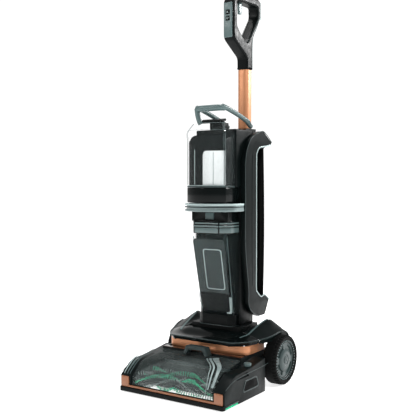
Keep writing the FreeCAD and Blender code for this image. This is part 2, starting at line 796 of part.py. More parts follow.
def make_body():
    half = d.body_half
    wall = d.body_wall
    housing = new_body("body_housing")
    front_face, rear_face = y(d.body_front), y(d.body_rear)
    pad(housing, "Z", d.neck_top, mid_band_top, rectangle(-half, half, front_face, rear_face))
    inside = rectangle(-half + wall, half - wall, d.neck_top + wall, mid_band_top - wall)
    pocket(housing, "Y", front_face + wall, rear_face + 1, inside)
    # Shelf under the suction motor and ledge for the pump.
    motor_floor = dock_top + d.bulge_bottom + 25
    shelf = rectangle(-half + wall - 1, half - wall + 1, motor_floor - 4, motor_floor)
    pad(housing, "Y", front_face + wall - 1, rear_face - 2, shelf)
    ledge = rectangle(-half + wall - 1, half - wall + 1, dock_top + 60, dock_top + 64)
    pad(housing, "Y", front_face + wall - 1, rear_face - 2, ledge)

    shoulder = new_body("shoulder_shell")
    front_face = y(d.shoulder_front)
    pad(shoulder, "Z", mid_band_top, shoulder_top, rectangle(-half, half, front_face, rear_face))
    inside = rectangle(-half + wall, half - wall, mid_band_top + wall, shoulder_top - wall)
    pocket(shoulder, "Y", front_face + wall, rear_face + 1, inside)

    band = new_body("mid_band")
    pad(band, "Z", mid_band_bottom, mid_band_top, tank_plan(0, y(d.shoulder_front)))
    rear = rectangle(-half + 3, half - 3, y(d.shoulder_front) - 1, y(d.body_front))
    pad(band, "Z", mid_band_bottom, mid_band_top, rear)
    well = Circle(0, cap_y, d.cap_size + d.cap_clearance)
    pocket(band, "Z", mid_band_top - d.cap_height - 4, mid_band_top + 1, well)

    motor = new_body("suction_motor")
    middle = y(d.body_front) / 2 + y(d.body_rear) / 2 + 2
    pad(motor, "Z", motor_floor, motor_floor + d.suction_height, Circle(0, middle, d.suction_radius))
    stud = Circle(0, middle, d.motor_shaft)
    top = motor_floor + d.suction_height
    pad(motor, "Z", top, top + 3, stud)
    impeller = new_body("impeller")
    foot = top + 3 + d.seat_gap
    pad(impeller, "Z", foot, foot + d.impeller_height, Circle(0, middle, d.suction_radius - 2))
    pump = new_body("water_pump")
    pump_floor = dock_top + 64
    outline = rectangle(-half + 12, -half + 12 + d.pump_width, middle - 20, middle + 18)
    pad(pump, "Z", pump_floor, pump_floor + d.pump_height, outline)


def tank_plan(grow, rear):
    """The clean tank's plan: straight sides and a front that bows forward."""
    half = d.clean_half + grow
    return [(half, y(d.clean_side)), (half, rear), (-half, rear),
            (-half, y(d.clean_side), d.clean_bow)]


def make_back_cover():
    half = d.body_half
    cover = new_body("back_cover")
    rear_face = y(d.body_rear)
    pad(cover, "Y", rear_face, cover_rear, rectangle(-half, half, d.neck_top, shoulder_top))
    bottom = dock_top + d.bulge_bottom
    top = bottom + d.bulge_height
    bulge = [
        (cover_rear - 1, bottom),
        (bulge_rear, bottom),
        (bulge_rear, top - 25),
        (cover_rear - 1, top),
    ]
    pad(cover, "X", -half + 8, half - 8, bulge)
    spine_half = pole_half + d.socket_wall
    spine = [
        (cover_rear - 1, pole_foot - 60),
        (pole_y + spine_half, pole_foot - 6),
        (pole_y + spine_half, shoulder_top + 12),
        (pole_y - spine_half, shoulder_top + 12),
        (cover_rear - 1, shoulder_top - 2),
    ]
    pad(cover, "X", -spine_half, spine_half, spine)
    socket = pole_section(d.running_fit)
    pocket(cover, "Z", pole_foot, shoulder_top + 13, socket)
    grille = new_body("exhaust_grille")
    plate = rectangle(-half + 24, half - 24, bottom + 20, top - 35)
    pad(grille, "Y", bulge_rear, bulge_rear + 3, plate)
    for index in range(6):
        slot_low = bottom + 27 + index * 12
        slot = rectangle(-half + 32, half - 32, slot_low, slot_low + 6)
        pocket(grille, "Y", bulge_rear - 1, bulge_rear + 4, slot)
    screws = new_body("cover_screws")
    screws.AllowCompound = True
    heads = []
    for side in (1, -1):
        for height in (d.neck_top + 20, bottom - 30, shoulder_top - 30):
            heads.append(Circle((half - 12) * side, height, d.screw_radius))
    pad(screws, "Y", cover_rear, cover_rear + 2, *heads)


def pole_section(grow):
    """The pole's rounded-square section."""
    half = pole_half + grow
    corner = d.pole_corner
    flat = half - corner
    return [
        (flat, pole_y - half, corner),
        (half, pole_y - flat),
        (half, pole_y + flat, corner),
        (flat, pole_y + half),
        (-flat, pole_y + half, corner),
        (-half, pole_y + flat),
        (-half, pole_y - flat, corner),
        (-flat, pole_y - half),
    ]


def make_side_frames():
    """C-shaped side frames; each upper and lower horn ends in a hook for the wound cord."""
    low, high = dock_top, shoulder_top
    outline = [
        (y(250), high - 84),
        (y(275), high - 31),
        (y(304), high - 12),
        (y(339), high - 1),
        (y(357), high - 1),
        (y(404), high - 30),
        (y(403), high - 39),
        (y(357), high - 46),
        (y(330), high - 50),
        (y(316), high - 64),
        (y(312), high - 84),
        (y(312), low + 72),
        (y(318), low + 60),
        (y(330), low + 49),
        (y(345), low + 42),
        (y(363), low + 47),
        (y(391), low + 29),
        (y(381), low + 10),
        (y(366), low - 14),
        (y(327), low - 14),
        (y(287), low + 6),
        (y(270), low + 29),
        (y(270), low + 72),
        (y(250), low + 185),
    ]
    for side, word in ((1, "right"), (-1, "left")):
        frame = new_body("side_frame_" + word)
        pad(frame, "X", *span(side, frame_inner, frame_outer), outline)
        for height in (hook_low, hook_high):
            hook = Circle(hook_y, height, d.hook_radius)
            pad(frame, "X", *span(side, frame_inner - d.hook_reach, frame_inner + 1), hook)


# ---- tanks -------------------------------------------------------------------------------------

def make_clean_tank():
    rear = y(d.shoulder_front) - d.seat_gap
    shell_bottom = clean_bottom + d.clean_base
    shell = new_body("clean_tank_shell")
    pad(shell, "Z", shell_bottom, clean_top, tank_plan(0, rear))
    half = d.clean_half
    for side in (1, -1):
        bevel = [
            ((half + 1) * side, clean_top - d.clean_bevel_height),
            ((half - d.clean_bevel) * side, clean_top + 1),
            ((half + 1) * side, clean_top + 1),
        ]
        pocket(shell, "Y", y(d.clean_side) - 30, rear + 1, bevel)
    brow = [
        (y(d.clean_side) - 30, clean_top - d.clean_bevel_height),
        (y(d.clean_side) + 3, clean_top + 1),
        (y(d.clean_side) - 30, clean_top + 1),
    ]
    pocket(shell, "X", -half - 1, half + 1, brow)
    inside = [(half - d.tank_wall, y(d.clean_side)), (half - d.tank_wall, rear - d.tank_wall),
              (-half + d.tank_wall, rear - d.tank_wall),
              (-half + d.tank_wall, y(d.clean_side), d.clean_bow - d.tank_wall)]
    pocket(shell, "Z", shell_bottom - 1, clean_top - d.clean_bevel_height - 4, inside)
    liner = new_body("clean_tank_liner")
    skin = d.tank_wall + d.seat_gap
    deep = skin + d.liner_wall
    outer = [(half - skin, y(d.clean_side)), (half - skin, y(d.clean_side) + 12),
             (-half + skin, y(d.clean_side) + 12), (-half + skin, y(d.clean_side), d.clean_bow - skin)]
    inner = [(half - deep, y(d.clean_side)), (half - deep, y(d.clean_side) + 13),
             (-half + deep, y(d.clean_side) + 13), (-half + deep, y(d.clean_side), d.clean_bow - deep)]
    liner_top = clean_top - d.clean_bevel_height - 5
    pad(liner, "Z", shell_bottom, liner_top, outer)
    pocket(liner, "Z", shell_bottom - 1, liner_top + 1, inner)
    window = rectangle(-d.liner_window_half, d.liner_window_half,
                       shell_bottom + 1, shell_bottom + d.liner_window_height)
    pocket(liner, "Y", y(d.clean_side) - 30, y(d.clean_side) + 14, window)
    base = new_body("clean_tank_base")
    pad(base, "Z", clean_bottom, shell_bottom, tank_plan(0, rear))
    cap = new_body("clean_tank_cap")
    pad(cap, "Z", clean_bottom - d.cap_height, clean_bottom - d.seat_gap, Circle(0, cap_y, d.cap_size))
    handle = new_body("tank_handle")
    grip_top = clean_top + d.grip_rise + d.grip_height
    arm_low, arm_high = d.grip_half - d.grip_width, d.grip_half
    grip_y = y(d.grip_front)
    arm = [
        (grip_y, grip_top - d.grip_height),
        (grip_y + 5, grip_top),
        (grip_y + d.grip_depth, grip_top - 2),
        (grip_y + 110, grip_top - 28),
        (y(d.grip_tail), clean_top + 8),
        (y(d.grip_tail), clean_top - 5),
        (y(d.grip_tail) - 17, clean_top - 5),
        (grip_y + 26, grip_top - d.grip_height),
    ]
    grip = arm[:3] + [(grip_y + d.grip_depth, grip_top - d.grip_height)]
    post = rectangle(grip_y + 4, grip_y + 14, clean_top, grip_top - 5)
    pad(handle, "X", -arm_high, arm_high, grip)
    for side in (1, -1):
        pad(handle, "X", *span(side, arm_low, arm_high), arm)
        pad(handle, "X", *span(side, arm_low - 6, arm_high - 5), post)
    latch = new_body("tank_latch")
    latch_side = rectangle(y(d.shoulder_front) + 2, y(d.shoulder_front) + 36,
                           shoulder_top + d.seat_gap, shoulder_top + 20)
    pad(latch, "X", -22, 22, latch_side)


def dirty_plan(half, nose_half, nose_y, side_y, inset):
    """The dirty tank's plan at one height, moved in by a wall's thickness."""
    rear = y(d.body_front) - d.seat_gap - inset
    return [
        (half - inset, rear),
        (-half + inset, rear),
        (-half + inset, side_y + inset * 0.5),
        (-nose_half + inset * 0.5, nose_y + inset),
        (nose_half - inset * 0.5, nose_y + inset),
        (half - inset, side_y + inset * 0.5),
    ]


def loft(body, kind, low, high, low_plan, high_plan):
    lower = add_sketch(body, "Z", low, [low_plan])
    upper = add_sketch(body, "Z", high, [high_plan])
    feature = body.newObject("PartDesign::" + kind, body.Name + "_loft")
    feature.Profile = lower
    feature.Sections = [upper]
    feature.Ruled = True
    body.Tip = feature


def make_dirty_tank():
    shell = new_body("dirty_tank_shell")
    wall = as_size(0)
    foot = (d.dirty_foot_half, d.dirty_nose_half, y(d.dirty_foot_front), y(d.dirty_foot_front) + 11)
    head = (d.dirty_half, d.dirty_nose_half, y(d.dirty_front), y(d.dirty_front) + 28)
    loft(shell, "AdditiveLoft", dirty_bottom, dirty_top, dirty_plan(*foot, wall), dirty_plan(*head, wall))
    wall = d.tank_wall
    doc.recompute()
    loft(shell, "SubtractiveLoft", dirty_bottom + wall, dirty_top,
         dirty_plan(*foot, wall), dirty_plan(*head, wall))
    lid = new_body("dirty_tank_lid")
    pad(lid, "Z", dirty_top, lid_top, dirty_plan(*head, as_size(0)))
    neck = rectangle(-d.lid_neck_half, d.lid_neck_half, y(d.lid_neck_front), y(d.body_front) - d.seat_gap)
    pad(lid, "Z", lid_top - 1, lid_neck_top, neck)
    key_bore = rectangle(-14.3, 14.3, lid_top + 3.7, lid_top + 24.3)
    pocket(lid, "Y", y(d.lid_neck_front) - 1, y(d.lid_neck_front) + 8, key_bore)
    key = new_body("lid_button")
    key_face = rectangle(-14, 14, lid_top + 4, lid_top + 24)
    pad(key, "Y", y(d.lid_neck_front) - 3, y(d.lid_neck_front) + 5, key_face)

    bail = new_body("bail_handle")
    bail_bottom = lid_top + 27
    bail_top = bail_bottom + d.bail_height
    inner_half = d.bail_half - d.bail_wall
    outer = [(d.bail_half, y(d.bail_side)), (d.bail_half, y(d.bail_end)), (-d.bail_half, y(d.bail_end)),
             (-d.bail_half, y(d.bail_side), d.bail_radius)]
    inner = [(inner_half, y(d.bail_side)), (inner_half, y(d.bail_end) + 1),
             (-inner_half, y(d.bail_end) + 1), (-inner_half, y(d.bail_side), d.bail_radius - d.bail_wall)]
    pad(bail, "Z", bail_bottom, bail_top, outer)
    pocket(bail, "Z", bail_bottom - 1, bail_top + 1, inner)
    boss = Circle(y(d.bail_end) - 8, bail_bottom + d.bail_height / 2, d.bail_boss)
    for side in (1, -1):
        pad(bail, "X", *span(side, d.lid_neck_half + d.seat_gap, inner_half + 1), boss)

    separator = new_body("separator")
    back = y(d.separator_front) + 20
    half = d.separator_half
    bottom = dirty_top - d.separator_height
    pad(separator, "Z", bottom, dirty_top, rectangle(-half, half, y(d.separator_front), back))
    hollow = rectangle(-half + 3, half - 3, y(d.separator_front) + 3, back - 3)
    pocket(separator, "Z", bottom - 1, dirty_top - 8, hollow)
    ball = new_body("tank_float")
    floor = dirty_bottom + d.tank_wall + d.seat_gap
    centre = Circle(d.float_x, y(d.body_front) - 5 - d.float_radius, d.float_radius)
    pad(ball, "Z", floor, floor + d.float_height, centre)


# ---- pole and handle ---------------------------------------------------------------------------

def make_handle():
    pole = new_body("pole")
    pad(pole, "Z", pole_foot + d.seat_gap, loop_bottom, pole_section(0))
    bore = Circle(0, pole_y, pole_half - d.pole_wall)
    pocket(pole, "Z", pole_foot, loop_bottom + 1, bore)
    loop = new_body("handle_loop")
    rear = y(d.handle_reach)
    face = y(d.loop_front)
    outer = [
        (pole_y - 16, loop_bottom),
        (pole_y + 16, loop_bottom),
        (pole_y + 18, loop_bottom + 92),
        (rear, loop_bottom + 170),
        (rear, loop_top - 8),
        (rear - 14, loop_top),
        (face + 16, loop_top - 4),
        (face, loop_top - 36),
        (face, loop_bottom + 80),
        (pole_y - 17, loop_bottom + 34),
    ]
    inner = [
        (face + 22, loop_top - 29),
        (rear - 16, loop_top - 24),
        (rear - 15, loop_bottom + 166),
        (pole_y - 3, loop_bottom + 92),
        (pole_y - 16, loop_bottom + 79),
        (pole_y - 53, loop_bottom + 101),
        (face + 22, loop_bottom + 121),
    ]
    pad(loop, "X", -d.loop_half, d.loop_half, outer, inner)
    tang = Circle(0, pole_y, pole_half - d.pole_wall - d.running_fit)
    pad(loop, "Z", loop_bottom - 40, loop_bottom + 1, tang)
    keys = {"button_upper": loop_top - 66, "button_lower": loop_top - 84}
    half_key = d.key_size / 2
    grow = half_key + d.seat_gap
    for height in keys.values():
        hole = rectangle(-grow, grow, height - grow, height + grow)
        pocket(loop, "Y", face - 1, face + d.key_depth, hole)
    slot_y = face + 62
    slot = rectangle(slot_y - 12, slot_y + 14, loop_top - 40, loop_top - 9)
    pocket(loop, "X", -d.trigger_half - 2.5, d.trigger_half + 2.5, slot)
    pin_bore = Circle(slot_y, loop_top - 15, d.trigger_pin + d.running_fit)
    pocket(loop, "X", -d.loop_half + 4, d.loop_half - 4, pin_bore)
    panel = new_body("handle_panel")
    pad(panel, "Y", face - d.panel_depth, face,
        rectangle(-d.panel_half, d.panel_half, loop_bottom + 83, loop_top - 38))
    for height in keys.values():
        hole = rectangle(-grow, grow, height - grow, height + grow)
        pocket(panel, "Y", face - d.panel_depth - 1, face + 1, hole)
    for name, height in keys.items():
        button = new_body(name)
        square = rectangle(-half_key, half_key, height - half_key, height + half_key)
        pad(button, "Y", face - d.panel_depth - 2, face + d.key_depth - 3, square)
    trigger = new_body("trigger")
    blade = [
        (slot_y - 5, loop_top - 13),
        (slot_y + 5, loop_top - 13),
        (slot_y + 8, loop_top - 40),
        (slot_y + 5, loop_top - 60),
        (slot_y - 4, loop_top - 60),
        (slot_y - 6, loop_top - 40),
    ]
    pad(trigger, "X", -d.trigger_half, d.trigger_half, blade)
    pad(trigger, "X", -d.loop_half + 4.3, d.loop_half - 4.3, Circle(slot_y, loop_top - 15, d.trigger_pin))


# ---- cord --------------------------------------------------------------------------------------

def make_cord():
    gland = new_feature("cord_gland", gland_shape())
    gland.Placement.Base = Vector(d.hank_x.value, gland_y, gland_top - d.gland_length.value)
    new_feature("cord_lead", tube(lead_route(), d.cord_diameter.value / 2))
    hank = new_body("cord_hank")
    inside = d.hook_radius + d.seat_gap * 2
    loops = []
    for radius in (inside + d.hank_depth, inside):
        loops.append([
            (hook_y + radius, hook_low),
            (hook_y + radius, hook_high, radius + 0.01),
            (hook_y - radius, hook_high),
            (hook_y - radius, hook_low, radius + 0.01),
        ])
    pad(hank, "X", d.hank_x - d.hank_width / 2, d.hank_x + d.hank_width / 2, *loops)
    plug = new_body("cord_plug")
    right = d.hank_x - d.hank_width / 2
    half = d.plug_width / 2
    plug_foot = dock_top + d.plug_rise
    plug_top = plug_foot + d.plug_length
    body_y = hook_y + d.plug_behind
    pad(plug, "Z", plug_foot, plug_top,
        rectangle(right - d.plug_width, right, body_y - half + 2, body_y + half - 2))
    middle = right - half
    pin_half = d.pin_thickness / 2
    for side in (1, -1):
        pin_x = middle + side * d.pin_spread
        blade = rectangle(pin_x - pin_half, pin_x + pin_half, body_y - 5, body_y + 2)
        pad(plug, "Z", plug_top - 1, plug_top + d.pin_length, blade)
    earth = Circle(middle, body_y + d.pin_spread, d.earth_pin_radius)
    pad(plug, "Z", plug_top - 1, plug_top + d.pin_length + 2, earth)


def gland_shape():
    """A strain relief that tapers from its flange to the cord."""
    length = d.gland_length.value
    wide = d.gland_radius.value
    taper = Part.makeCone(d.cord_diameter.value / 2 + 1, wide - 1, length - 4)
    flange = Part.makeCylinder(wide, 4, Vector(0, 0, length - 4))
    return taper.fuse(flange).removeSplitter().Solids[0]


def lead_route():
    """From the gland down and back to the hank's front strands, chosen by hand."""
    x = d.hank_x.value
    top = gland_top - d.gland_length.value
    return [
        Vector(x, gland_y, top),
        Vector(x, gland_y, top - 34),
        Vector(x, gland_y + 12, top - 66),
        Vector(x, gland_y + 27, top - 93),
    ]


def tube(points, radius):
    """A round cord along straight runs joined by tangent arcs; prints each arc's radius."""
    edges = []
    start = points[0]
    for before, corner, after in zip(points, points[1:], points[2:]):
        arrive, leave = corner - before, after - corner
        turn = arrive.getAngle(leave)
        shorter = min(arrive.Length, leave.Length)
        arc_radius = 0.45 * shorter / math.tan(turn / 2)
        print("cord arc radius {:.1f} mm".format(arc_radius))
        arrive.normalize()
        leave.normalize()
        first = corner - arrive * 0.45 * shorter
        last = corner + leave * 0.45 * shorter
        inward = (leave - arrive).normalize()
        middle = corner + inward * arc_radius * (1 / math.cos(turn / 2) - 1)
        edges.append(Part.LineSegment(start, first).toShape())
        edges.append(Part.Arc(first, middle, last).toShape())
        start = last
    edges.append(Part.LineSegment(start, points[-1]).toShape())
    path = Part.Wire(edges)
    section = Part.Wire(Part.makeCircle(radius, points[0], points[1] - points[0]))
    shape = path.makePipeShell([section], True, False)
    expected = math.pi * radius ** 2 * path.Length
    if abs(shape.Volume / expected - 1) > 0.01:
        raise RuntimeError("the cord's tube has the wrong volume")
    return shape.Solids[0] if shape.Solids else shape


# ---- build and write ---------------------------------------------------------------------------

for make in (make_base_housing, make_front, make_window, make_hood, make_wheels, make_drive, make_neck,
             make_body, make_back_cover, make_side_frames, make_clean_tank, make_dirty_tank, make_handle,
             make_cord):
    make()
doc.recompute()

for item in doc.Objects:
    if "Invalid" in item.State or "Error" in item.State:
        raise RuntimeError("failed: {} {}".format(item.Label, item.State))
for part in parts:
    if part.Shape.isNull() or not part.Shape.isValid():
        raise RuntimeError("bad shape: " + part.Label)

os.makedirs("parts", exist_ok=True)
for part in parts:
    part.Shape.exportStep(os.path.join("parts", part.Label + ".step"))
print("{} nodes written".format(len(parts)))
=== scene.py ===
import json
import math
import random

import bmesh
import bpy
from mathutils import Matrix, Vector

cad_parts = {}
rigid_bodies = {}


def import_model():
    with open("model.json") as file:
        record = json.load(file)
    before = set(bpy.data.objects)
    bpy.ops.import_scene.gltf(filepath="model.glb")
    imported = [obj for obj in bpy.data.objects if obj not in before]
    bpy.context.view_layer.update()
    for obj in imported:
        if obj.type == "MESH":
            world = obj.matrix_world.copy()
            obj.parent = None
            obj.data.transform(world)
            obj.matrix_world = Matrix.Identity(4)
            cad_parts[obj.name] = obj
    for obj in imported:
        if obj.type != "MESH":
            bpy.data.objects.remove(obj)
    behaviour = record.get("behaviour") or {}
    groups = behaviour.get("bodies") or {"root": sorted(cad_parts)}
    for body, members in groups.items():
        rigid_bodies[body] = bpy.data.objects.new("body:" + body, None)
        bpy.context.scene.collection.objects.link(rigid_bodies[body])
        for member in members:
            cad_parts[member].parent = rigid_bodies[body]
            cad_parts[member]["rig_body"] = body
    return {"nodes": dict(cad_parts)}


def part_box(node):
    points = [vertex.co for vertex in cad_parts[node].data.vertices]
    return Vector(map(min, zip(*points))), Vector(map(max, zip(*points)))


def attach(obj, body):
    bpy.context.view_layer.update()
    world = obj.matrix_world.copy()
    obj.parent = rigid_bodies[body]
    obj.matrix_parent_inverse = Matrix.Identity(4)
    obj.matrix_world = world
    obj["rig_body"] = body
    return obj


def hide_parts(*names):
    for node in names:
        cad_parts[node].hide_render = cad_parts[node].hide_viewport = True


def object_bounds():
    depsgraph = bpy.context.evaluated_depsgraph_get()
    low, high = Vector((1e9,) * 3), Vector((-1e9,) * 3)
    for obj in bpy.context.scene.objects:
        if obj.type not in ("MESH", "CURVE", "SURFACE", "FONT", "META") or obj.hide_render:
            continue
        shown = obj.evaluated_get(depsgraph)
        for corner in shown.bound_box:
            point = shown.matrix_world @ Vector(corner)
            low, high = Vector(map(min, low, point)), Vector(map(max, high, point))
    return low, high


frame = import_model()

# Upright carpet cleaner. Lengths below are millimetres; y is measured rearwards from the bumper's
# front and z upwards from the floor. at() turns them into the frame's metres.

MM = 0.001
CAD_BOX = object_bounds()
NODES = frame["nodes"]
FRONT = CAD_BOX[0][1]
random.seed(7)


def at(x, y, z):
    return Vector((x * MM, FRONT + y * MM, z * MM))


def span(node, axis):
    """A node's low and high coordinate in millimetres, with y measured from the bumper."""
    low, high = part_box(node)
    shift = FRONT if axis == 1 else 0
    return (low[axis] - shift) / MM, (high[axis] - shift) / MM


def level(node, end=1):
    return span(node, 2)[end]


DOCK_TOP = level("neck")
DIRTY_FOOT, DIRTY_TOP = span("dirty_tank_shell", 2)
BAND_FOOT, BAND_TOP = span("mid_band", 2)
CLEAN_FOOT = level("clean_tank_base", 0)
CLEAN_TOP = level("clean_tank_shell")
SHOULDER_TOP = level("shoulder_shell")
LOOP_FOOT = level("pole")
LOOP_TOP = level("handle_loop")
HOOD_FOOT, HOOD_TOP = span("base_hood", 2)
BASE_HALF = span("base_housing", 0)[1]
AXLE_Y = sum(span("rear_axle", 1)) / 2
AXLE_Z = sum(span("rear_axle", 2)) / 2
TYRE_IN, TYRE_OUT = span("tyre_right", 0)
HOOK_Y = sum(span("cord_hank", 1)) / 2
HANK_X = sum(span("cord_hank", 0)) / 2


# ---- camera --------------------------------------------------------------------------------------

HEADING = math.radians(33.7)


def make_camera():
    pitch = math.radians(1.9)
    data = bpy.data.cameras.new("camera")
    data.lens = 60.6
    camera = bpy.data.objects.new("camera", data)
    bpy.context.scene.collection.objects.link(camera)
    camera.location = at(1093.4, -1452.8, 566.4)
    look = Vector((-math.sin(HEADING) * math.cos(pitch), math.cos(HEADING) * math.cos(pitch),
                   -math.sin(pitch)))
    camera.rotation_euler = look.to_track_quat("-Z", "Y").to_euler()
    bpy.context.scene.camera = camera


# ---- materials -----------------------------------------------------------------------------------

def new_material(name):
    material = bpy.data.materials.new(name)
    material.use_nodes = True
    tree = material.node_tree
    shader = tree.nodes["Principled BSDF"]
    coords = tree.nodes.new("ShaderNodeTexCoord")
    return material, tree, shader, coords.outputs["Object"]


def noise(tree, coords, scale, detail=4, stretch=None):
    """A noise texture in object space; stretch squeezes it along an axis for brushed finishes."""
    if stretch:
        mapping = tree.nodes.new("ShaderNodeMapping")
        mapping.inputs["Scale"].default_value = stretch
        tree.links.new(coords, mapping.inputs["Vector"])
        coords = mapping.outputs["Vector"]
    texture = tree.nodes.new("ShaderNodeTexNoise")
    texture.inputs["Scale"].default_value = scale
    texture.inputs["Detail"].default_value = detail
    tree.links.new(coords, texture.inputs["Vector"])
    return texture.outputs["Fac"]


def ramp(tree, factor, stops):
    node = tree.nodes.new("ShaderNodeValToRGB")
    node.color_ramp.elements[0].position = stops[0][0]
    node.color_ramp.elements[0].color = (*stops[0][1], 1)
    node.color_ramp.elements[1].position = stops[-1][0]
    node.color_ramp.elements[1].color = (*stops[-1][1], 1)
    for place, colour in stops[1:-1]:
        node.color_ramp.elements.new(place).color = (*colour, 1)
    tree.links.new(factor, node.inputs["Fac"])
    return node.outputs["Color"]


def spread(tree, factor, low, high):
    node = tree.nodes.new("ShaderNodeMapRange")
    node.inputs["From Min"].default_value = 0.3
    node.inputs["From Max"].default_value = 0.7
    node.inputs["To Min"].default_value = low
    node.inputs["To Max"].default_value = high
    tree.links.new(factor, node.inputs["Value"])
    return node.outputs["Result"]


def bump(tree, shader, factor, strength, distance=0.0002):
    node = tree.nodes.new("ShaderNodeBump")
    node.inputs["Strength"].default_value = strength
    node.inputs["Distance"].default_value = distance
    tree.links.new(factor, node.inputs["Height"])
    tree.links.new(node.outputs["Normal"], shader.inputs["Normal"])


def shade(colour, factor):
    return tuple(min(channel * factor, 1) for channel in colour)


def plastic(name, colour, rough, grain=0.25, coat=0.0, specular=0.5):
    """Moulded plastic: a fine spark-eroded grain, faint flow marks and uneven gloss."""
    material, tree, shader, coords = new_material(name)
    flow = noise(tree, coords, 14, 3, (1, 1, 0.35))
    stops = [(0.3, shade(colour, 0.82)), (0.5, colour), (0.7, shade(colour, 1.18))]
    tree.links.new(ramp(tree, flow, stops), shader.inputs["Base Color"])
    tree.links.new(spread(tree, noise(tree, coords, 60, 5), rough * 0.8, rough * 1.25),
                   shader.inputs["Roughness"])
    bump(tree, shader, noise(tree, coords, 1600, 2), grain * 0.3)
    shader.inputs["Coat Weight"].default_value = coat
    shader.inputs["Coat Roughness"].default_value = 0.06
    shader.inputs["Specular IOR Level"].default_value = specular
    return material


def brushed(name, colour, rough, stretch, metallic=0.85):
    """Metallic finish with fine drawn lines along one direction."""
    material, tree, shader, coords = new_material(name)
    lines = noise(tree, coords, 220, 6, stretch)
    stops = [(0.3, shade(colour, 0.86)), (0.5, colour), (0.7, shade(colour, 1.12))]
    tree.links.new(ramp(tree, lines, stops), shader.inputs["Base Color"])
    tree.links.new(spread(tree, noise(tree, coords, 35, 4), rough * 0.85, rough * 1.2),
                   shader.inputs["Roughness"])
    bump(tree, shader, lines, 0.12)
    shader.inputs["Metallic"].default_value = metallic
    return material


def clear(name, colour, alpha, rough=0.05):
    """See-through moulding with faint streaks where the melt flowed."""
    material, tree, shader, coords = new_material(name)
    streaks = noise(tree, coords, 22, 3, (1, 1, 0.2))
    stops = [(0.35, shade(colour, 0.9)), (0.65, shade(colour, 1.08))]
    tree.links.new(ramp(tree, streaks, stops), shader.inputs["Base Color"])
    tree.links.new(spread(tree, streaks, alpha * 0.85, alpha * 1.2), shader.inputs["Alpha"])
    tree.links.new(spread(tree, noise(tree, coords, 80, 4), rough * 0.7, rough * 1.5),
                   shader.inputs["Roughness"])
    shader.inputs["Coat Weight"].default_value = 0.35
    shader.inputs["Coat Roughness"].default_value = 0.03
    return material


def rubber(name, colour, rough):
    """Matt rubber with dust-fine mottling."""
    material, tree, shader, coords = new_material(name)
    mottling = noise(tree, coords, 90, 6)
    stops = [(0.3, shade(colour, 0.75)), (0.7, shade(colour, 1.35))]
    tree.links.new(ramp(tree, mottling, stops), shader.inputs["Base Color"])
    tree.links.new(spread(tree, mottling, rough * 0.85, min(rough * 1.15, 1)), shader.inputs["Roughness"])
    bump(tree, shader, noise(tree, coords, 900, 3), 0.35)
    shader.inputs["Specular IOR Level"].default_value = 0.12
    return material


BLACK = plastic("black_satin", (0.0022, 0.0034, 0.0035), 0.38, 0.2, 0.0, 0.1)
BLACK_MATT = plastic("black_matt", (0.0012, 0.0016, 0.0016), 0.6, 0.4, 0.0, 0.08)
GLOSS = plastic("dark_gloss", (0.0028, 0.0045, 0.0045), 0.15, 0.05, 0.04, 0.16)
PANEL = plastic("side_panel", (0.0032, 0.0058, 0.0058), 0.36, 0.2, 0.0, 0.1)
SLATE = plastic("slate_grey", (0.026, 0.04, 0.04), 0.34, 0.2, 0.0, 0.25)
GREYGREEN = plastic("grey_green", (0.095, 0.145, 0.145), 0.32, 0.18, 0.0, 0.4)
# Pale colour used only for the painted reflection bands on the clear window.
PALE_REFLECTION = plastic("pale_painted_reflection", (0.32, 0.4, 0.395), 0.26, 0.08, 0.3)
# Pale plastic for real print and trim, also used for the painted highlight strips along edges.
PALE_TRIM_AND_HIGHLIGHT = plastic("pale_trim_and_highlight", (0.4, 0.5, 0.495), 0.3, 0.1)
COPPER_POLE = brushed("copper_pole", (0.62, 0.27, 0.13), 0.42, (1, 1, 0.02), 0.35)
COPPER_BAND = brushed("copper_band_finish", (0.58, 0.25, 0.12), 0.36, (0.02, 0.02, 1), 0.45)
COPPER_LIP = plastic("copper_paint", (0.3, 0.11, 0.045), 0.34, 0.1, 0.2)
CLEAR = clear("clear_shell", (0.3, 0.36, 0.36), 0.03)
# Used for the painted highlight lines along the clear shell's edges.
CLEAR_EDGE_HIGHLIGHT = clear("clear_edge_highlight", (0.2, 0.26, 0.26), 0.35)
WINDOW = clear("clear_window", (0.4, 0.48, 0.47), 0.05)
SMOKE = clear("smoke_shell", (0.1, 0.14, 0.14), 0.03)
SMOKE_PANEL = plastic("smoke_panel", (0.02, 0.032, 0.032), 0.2, 0.05, 0.1, 0.2)
SMOKE_BAND = clear("smoke_band", (0.1, 0.145, 0.145), 1.0)
HUB = plastic("hub_grey", (0.04, 0.06, 0.06), 0.34, 0.1, 0.0, 0.3)
BAIL = plastic("bail_grey", (0.17, 0.225, 0.225), 0.24, 0.1, 0.2, 0.5)
AMBER = clear("amber_panel", (0.06, 0.018, 0.008), 0.85)
MINT = plastic("mint_bristle", (0.045, 0.72, 0.42), 0.5, 0.1)
PALE_BRISTLE = plastic("pale_bristle", (0.36, 0.42, 0.41), 0.5, 0.1)
TYRE = rubber("tyre_rubber", (0.004, 0.0045, 0.0045), 0.75)
SHEATH = rubber("cord_sheath", (0.0018, 0.002, 0.002), 0.5)
STEEL = brushed("plain_steel", (0.42, 0.42, 0.42), 0.35, (1, 0.05, 1), 1.0)
MILK = plastic("milky_window", (0.8, 0.84, 0.84), 0.3, 0.05)


# ---- mesh helpers --------------------------------------------------------------------------------

def finish_piece(name, mesh, material, body, nodes=(), angle=32):
    mesh.validate()
    mesh.shade_smooth()
    mesh.set_sharp_from_angle(angle=math.radians(angle))
    mesh.materials.clear()
    mesh.materials.append(material)
    piece = bpy.data.objects.new(name, mesh)
    bpy.context.scene.collection.objects.link(piece)
    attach(piece, body)
    if nodes:
        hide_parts(*nodes)
    return piece


def mesh_from(name, vertices, faces):
    mesh = bpy.data.meshes.new(name)
    mesh.from_pydata([tuple(v) for v in vertices], [], faces)
    return mesh


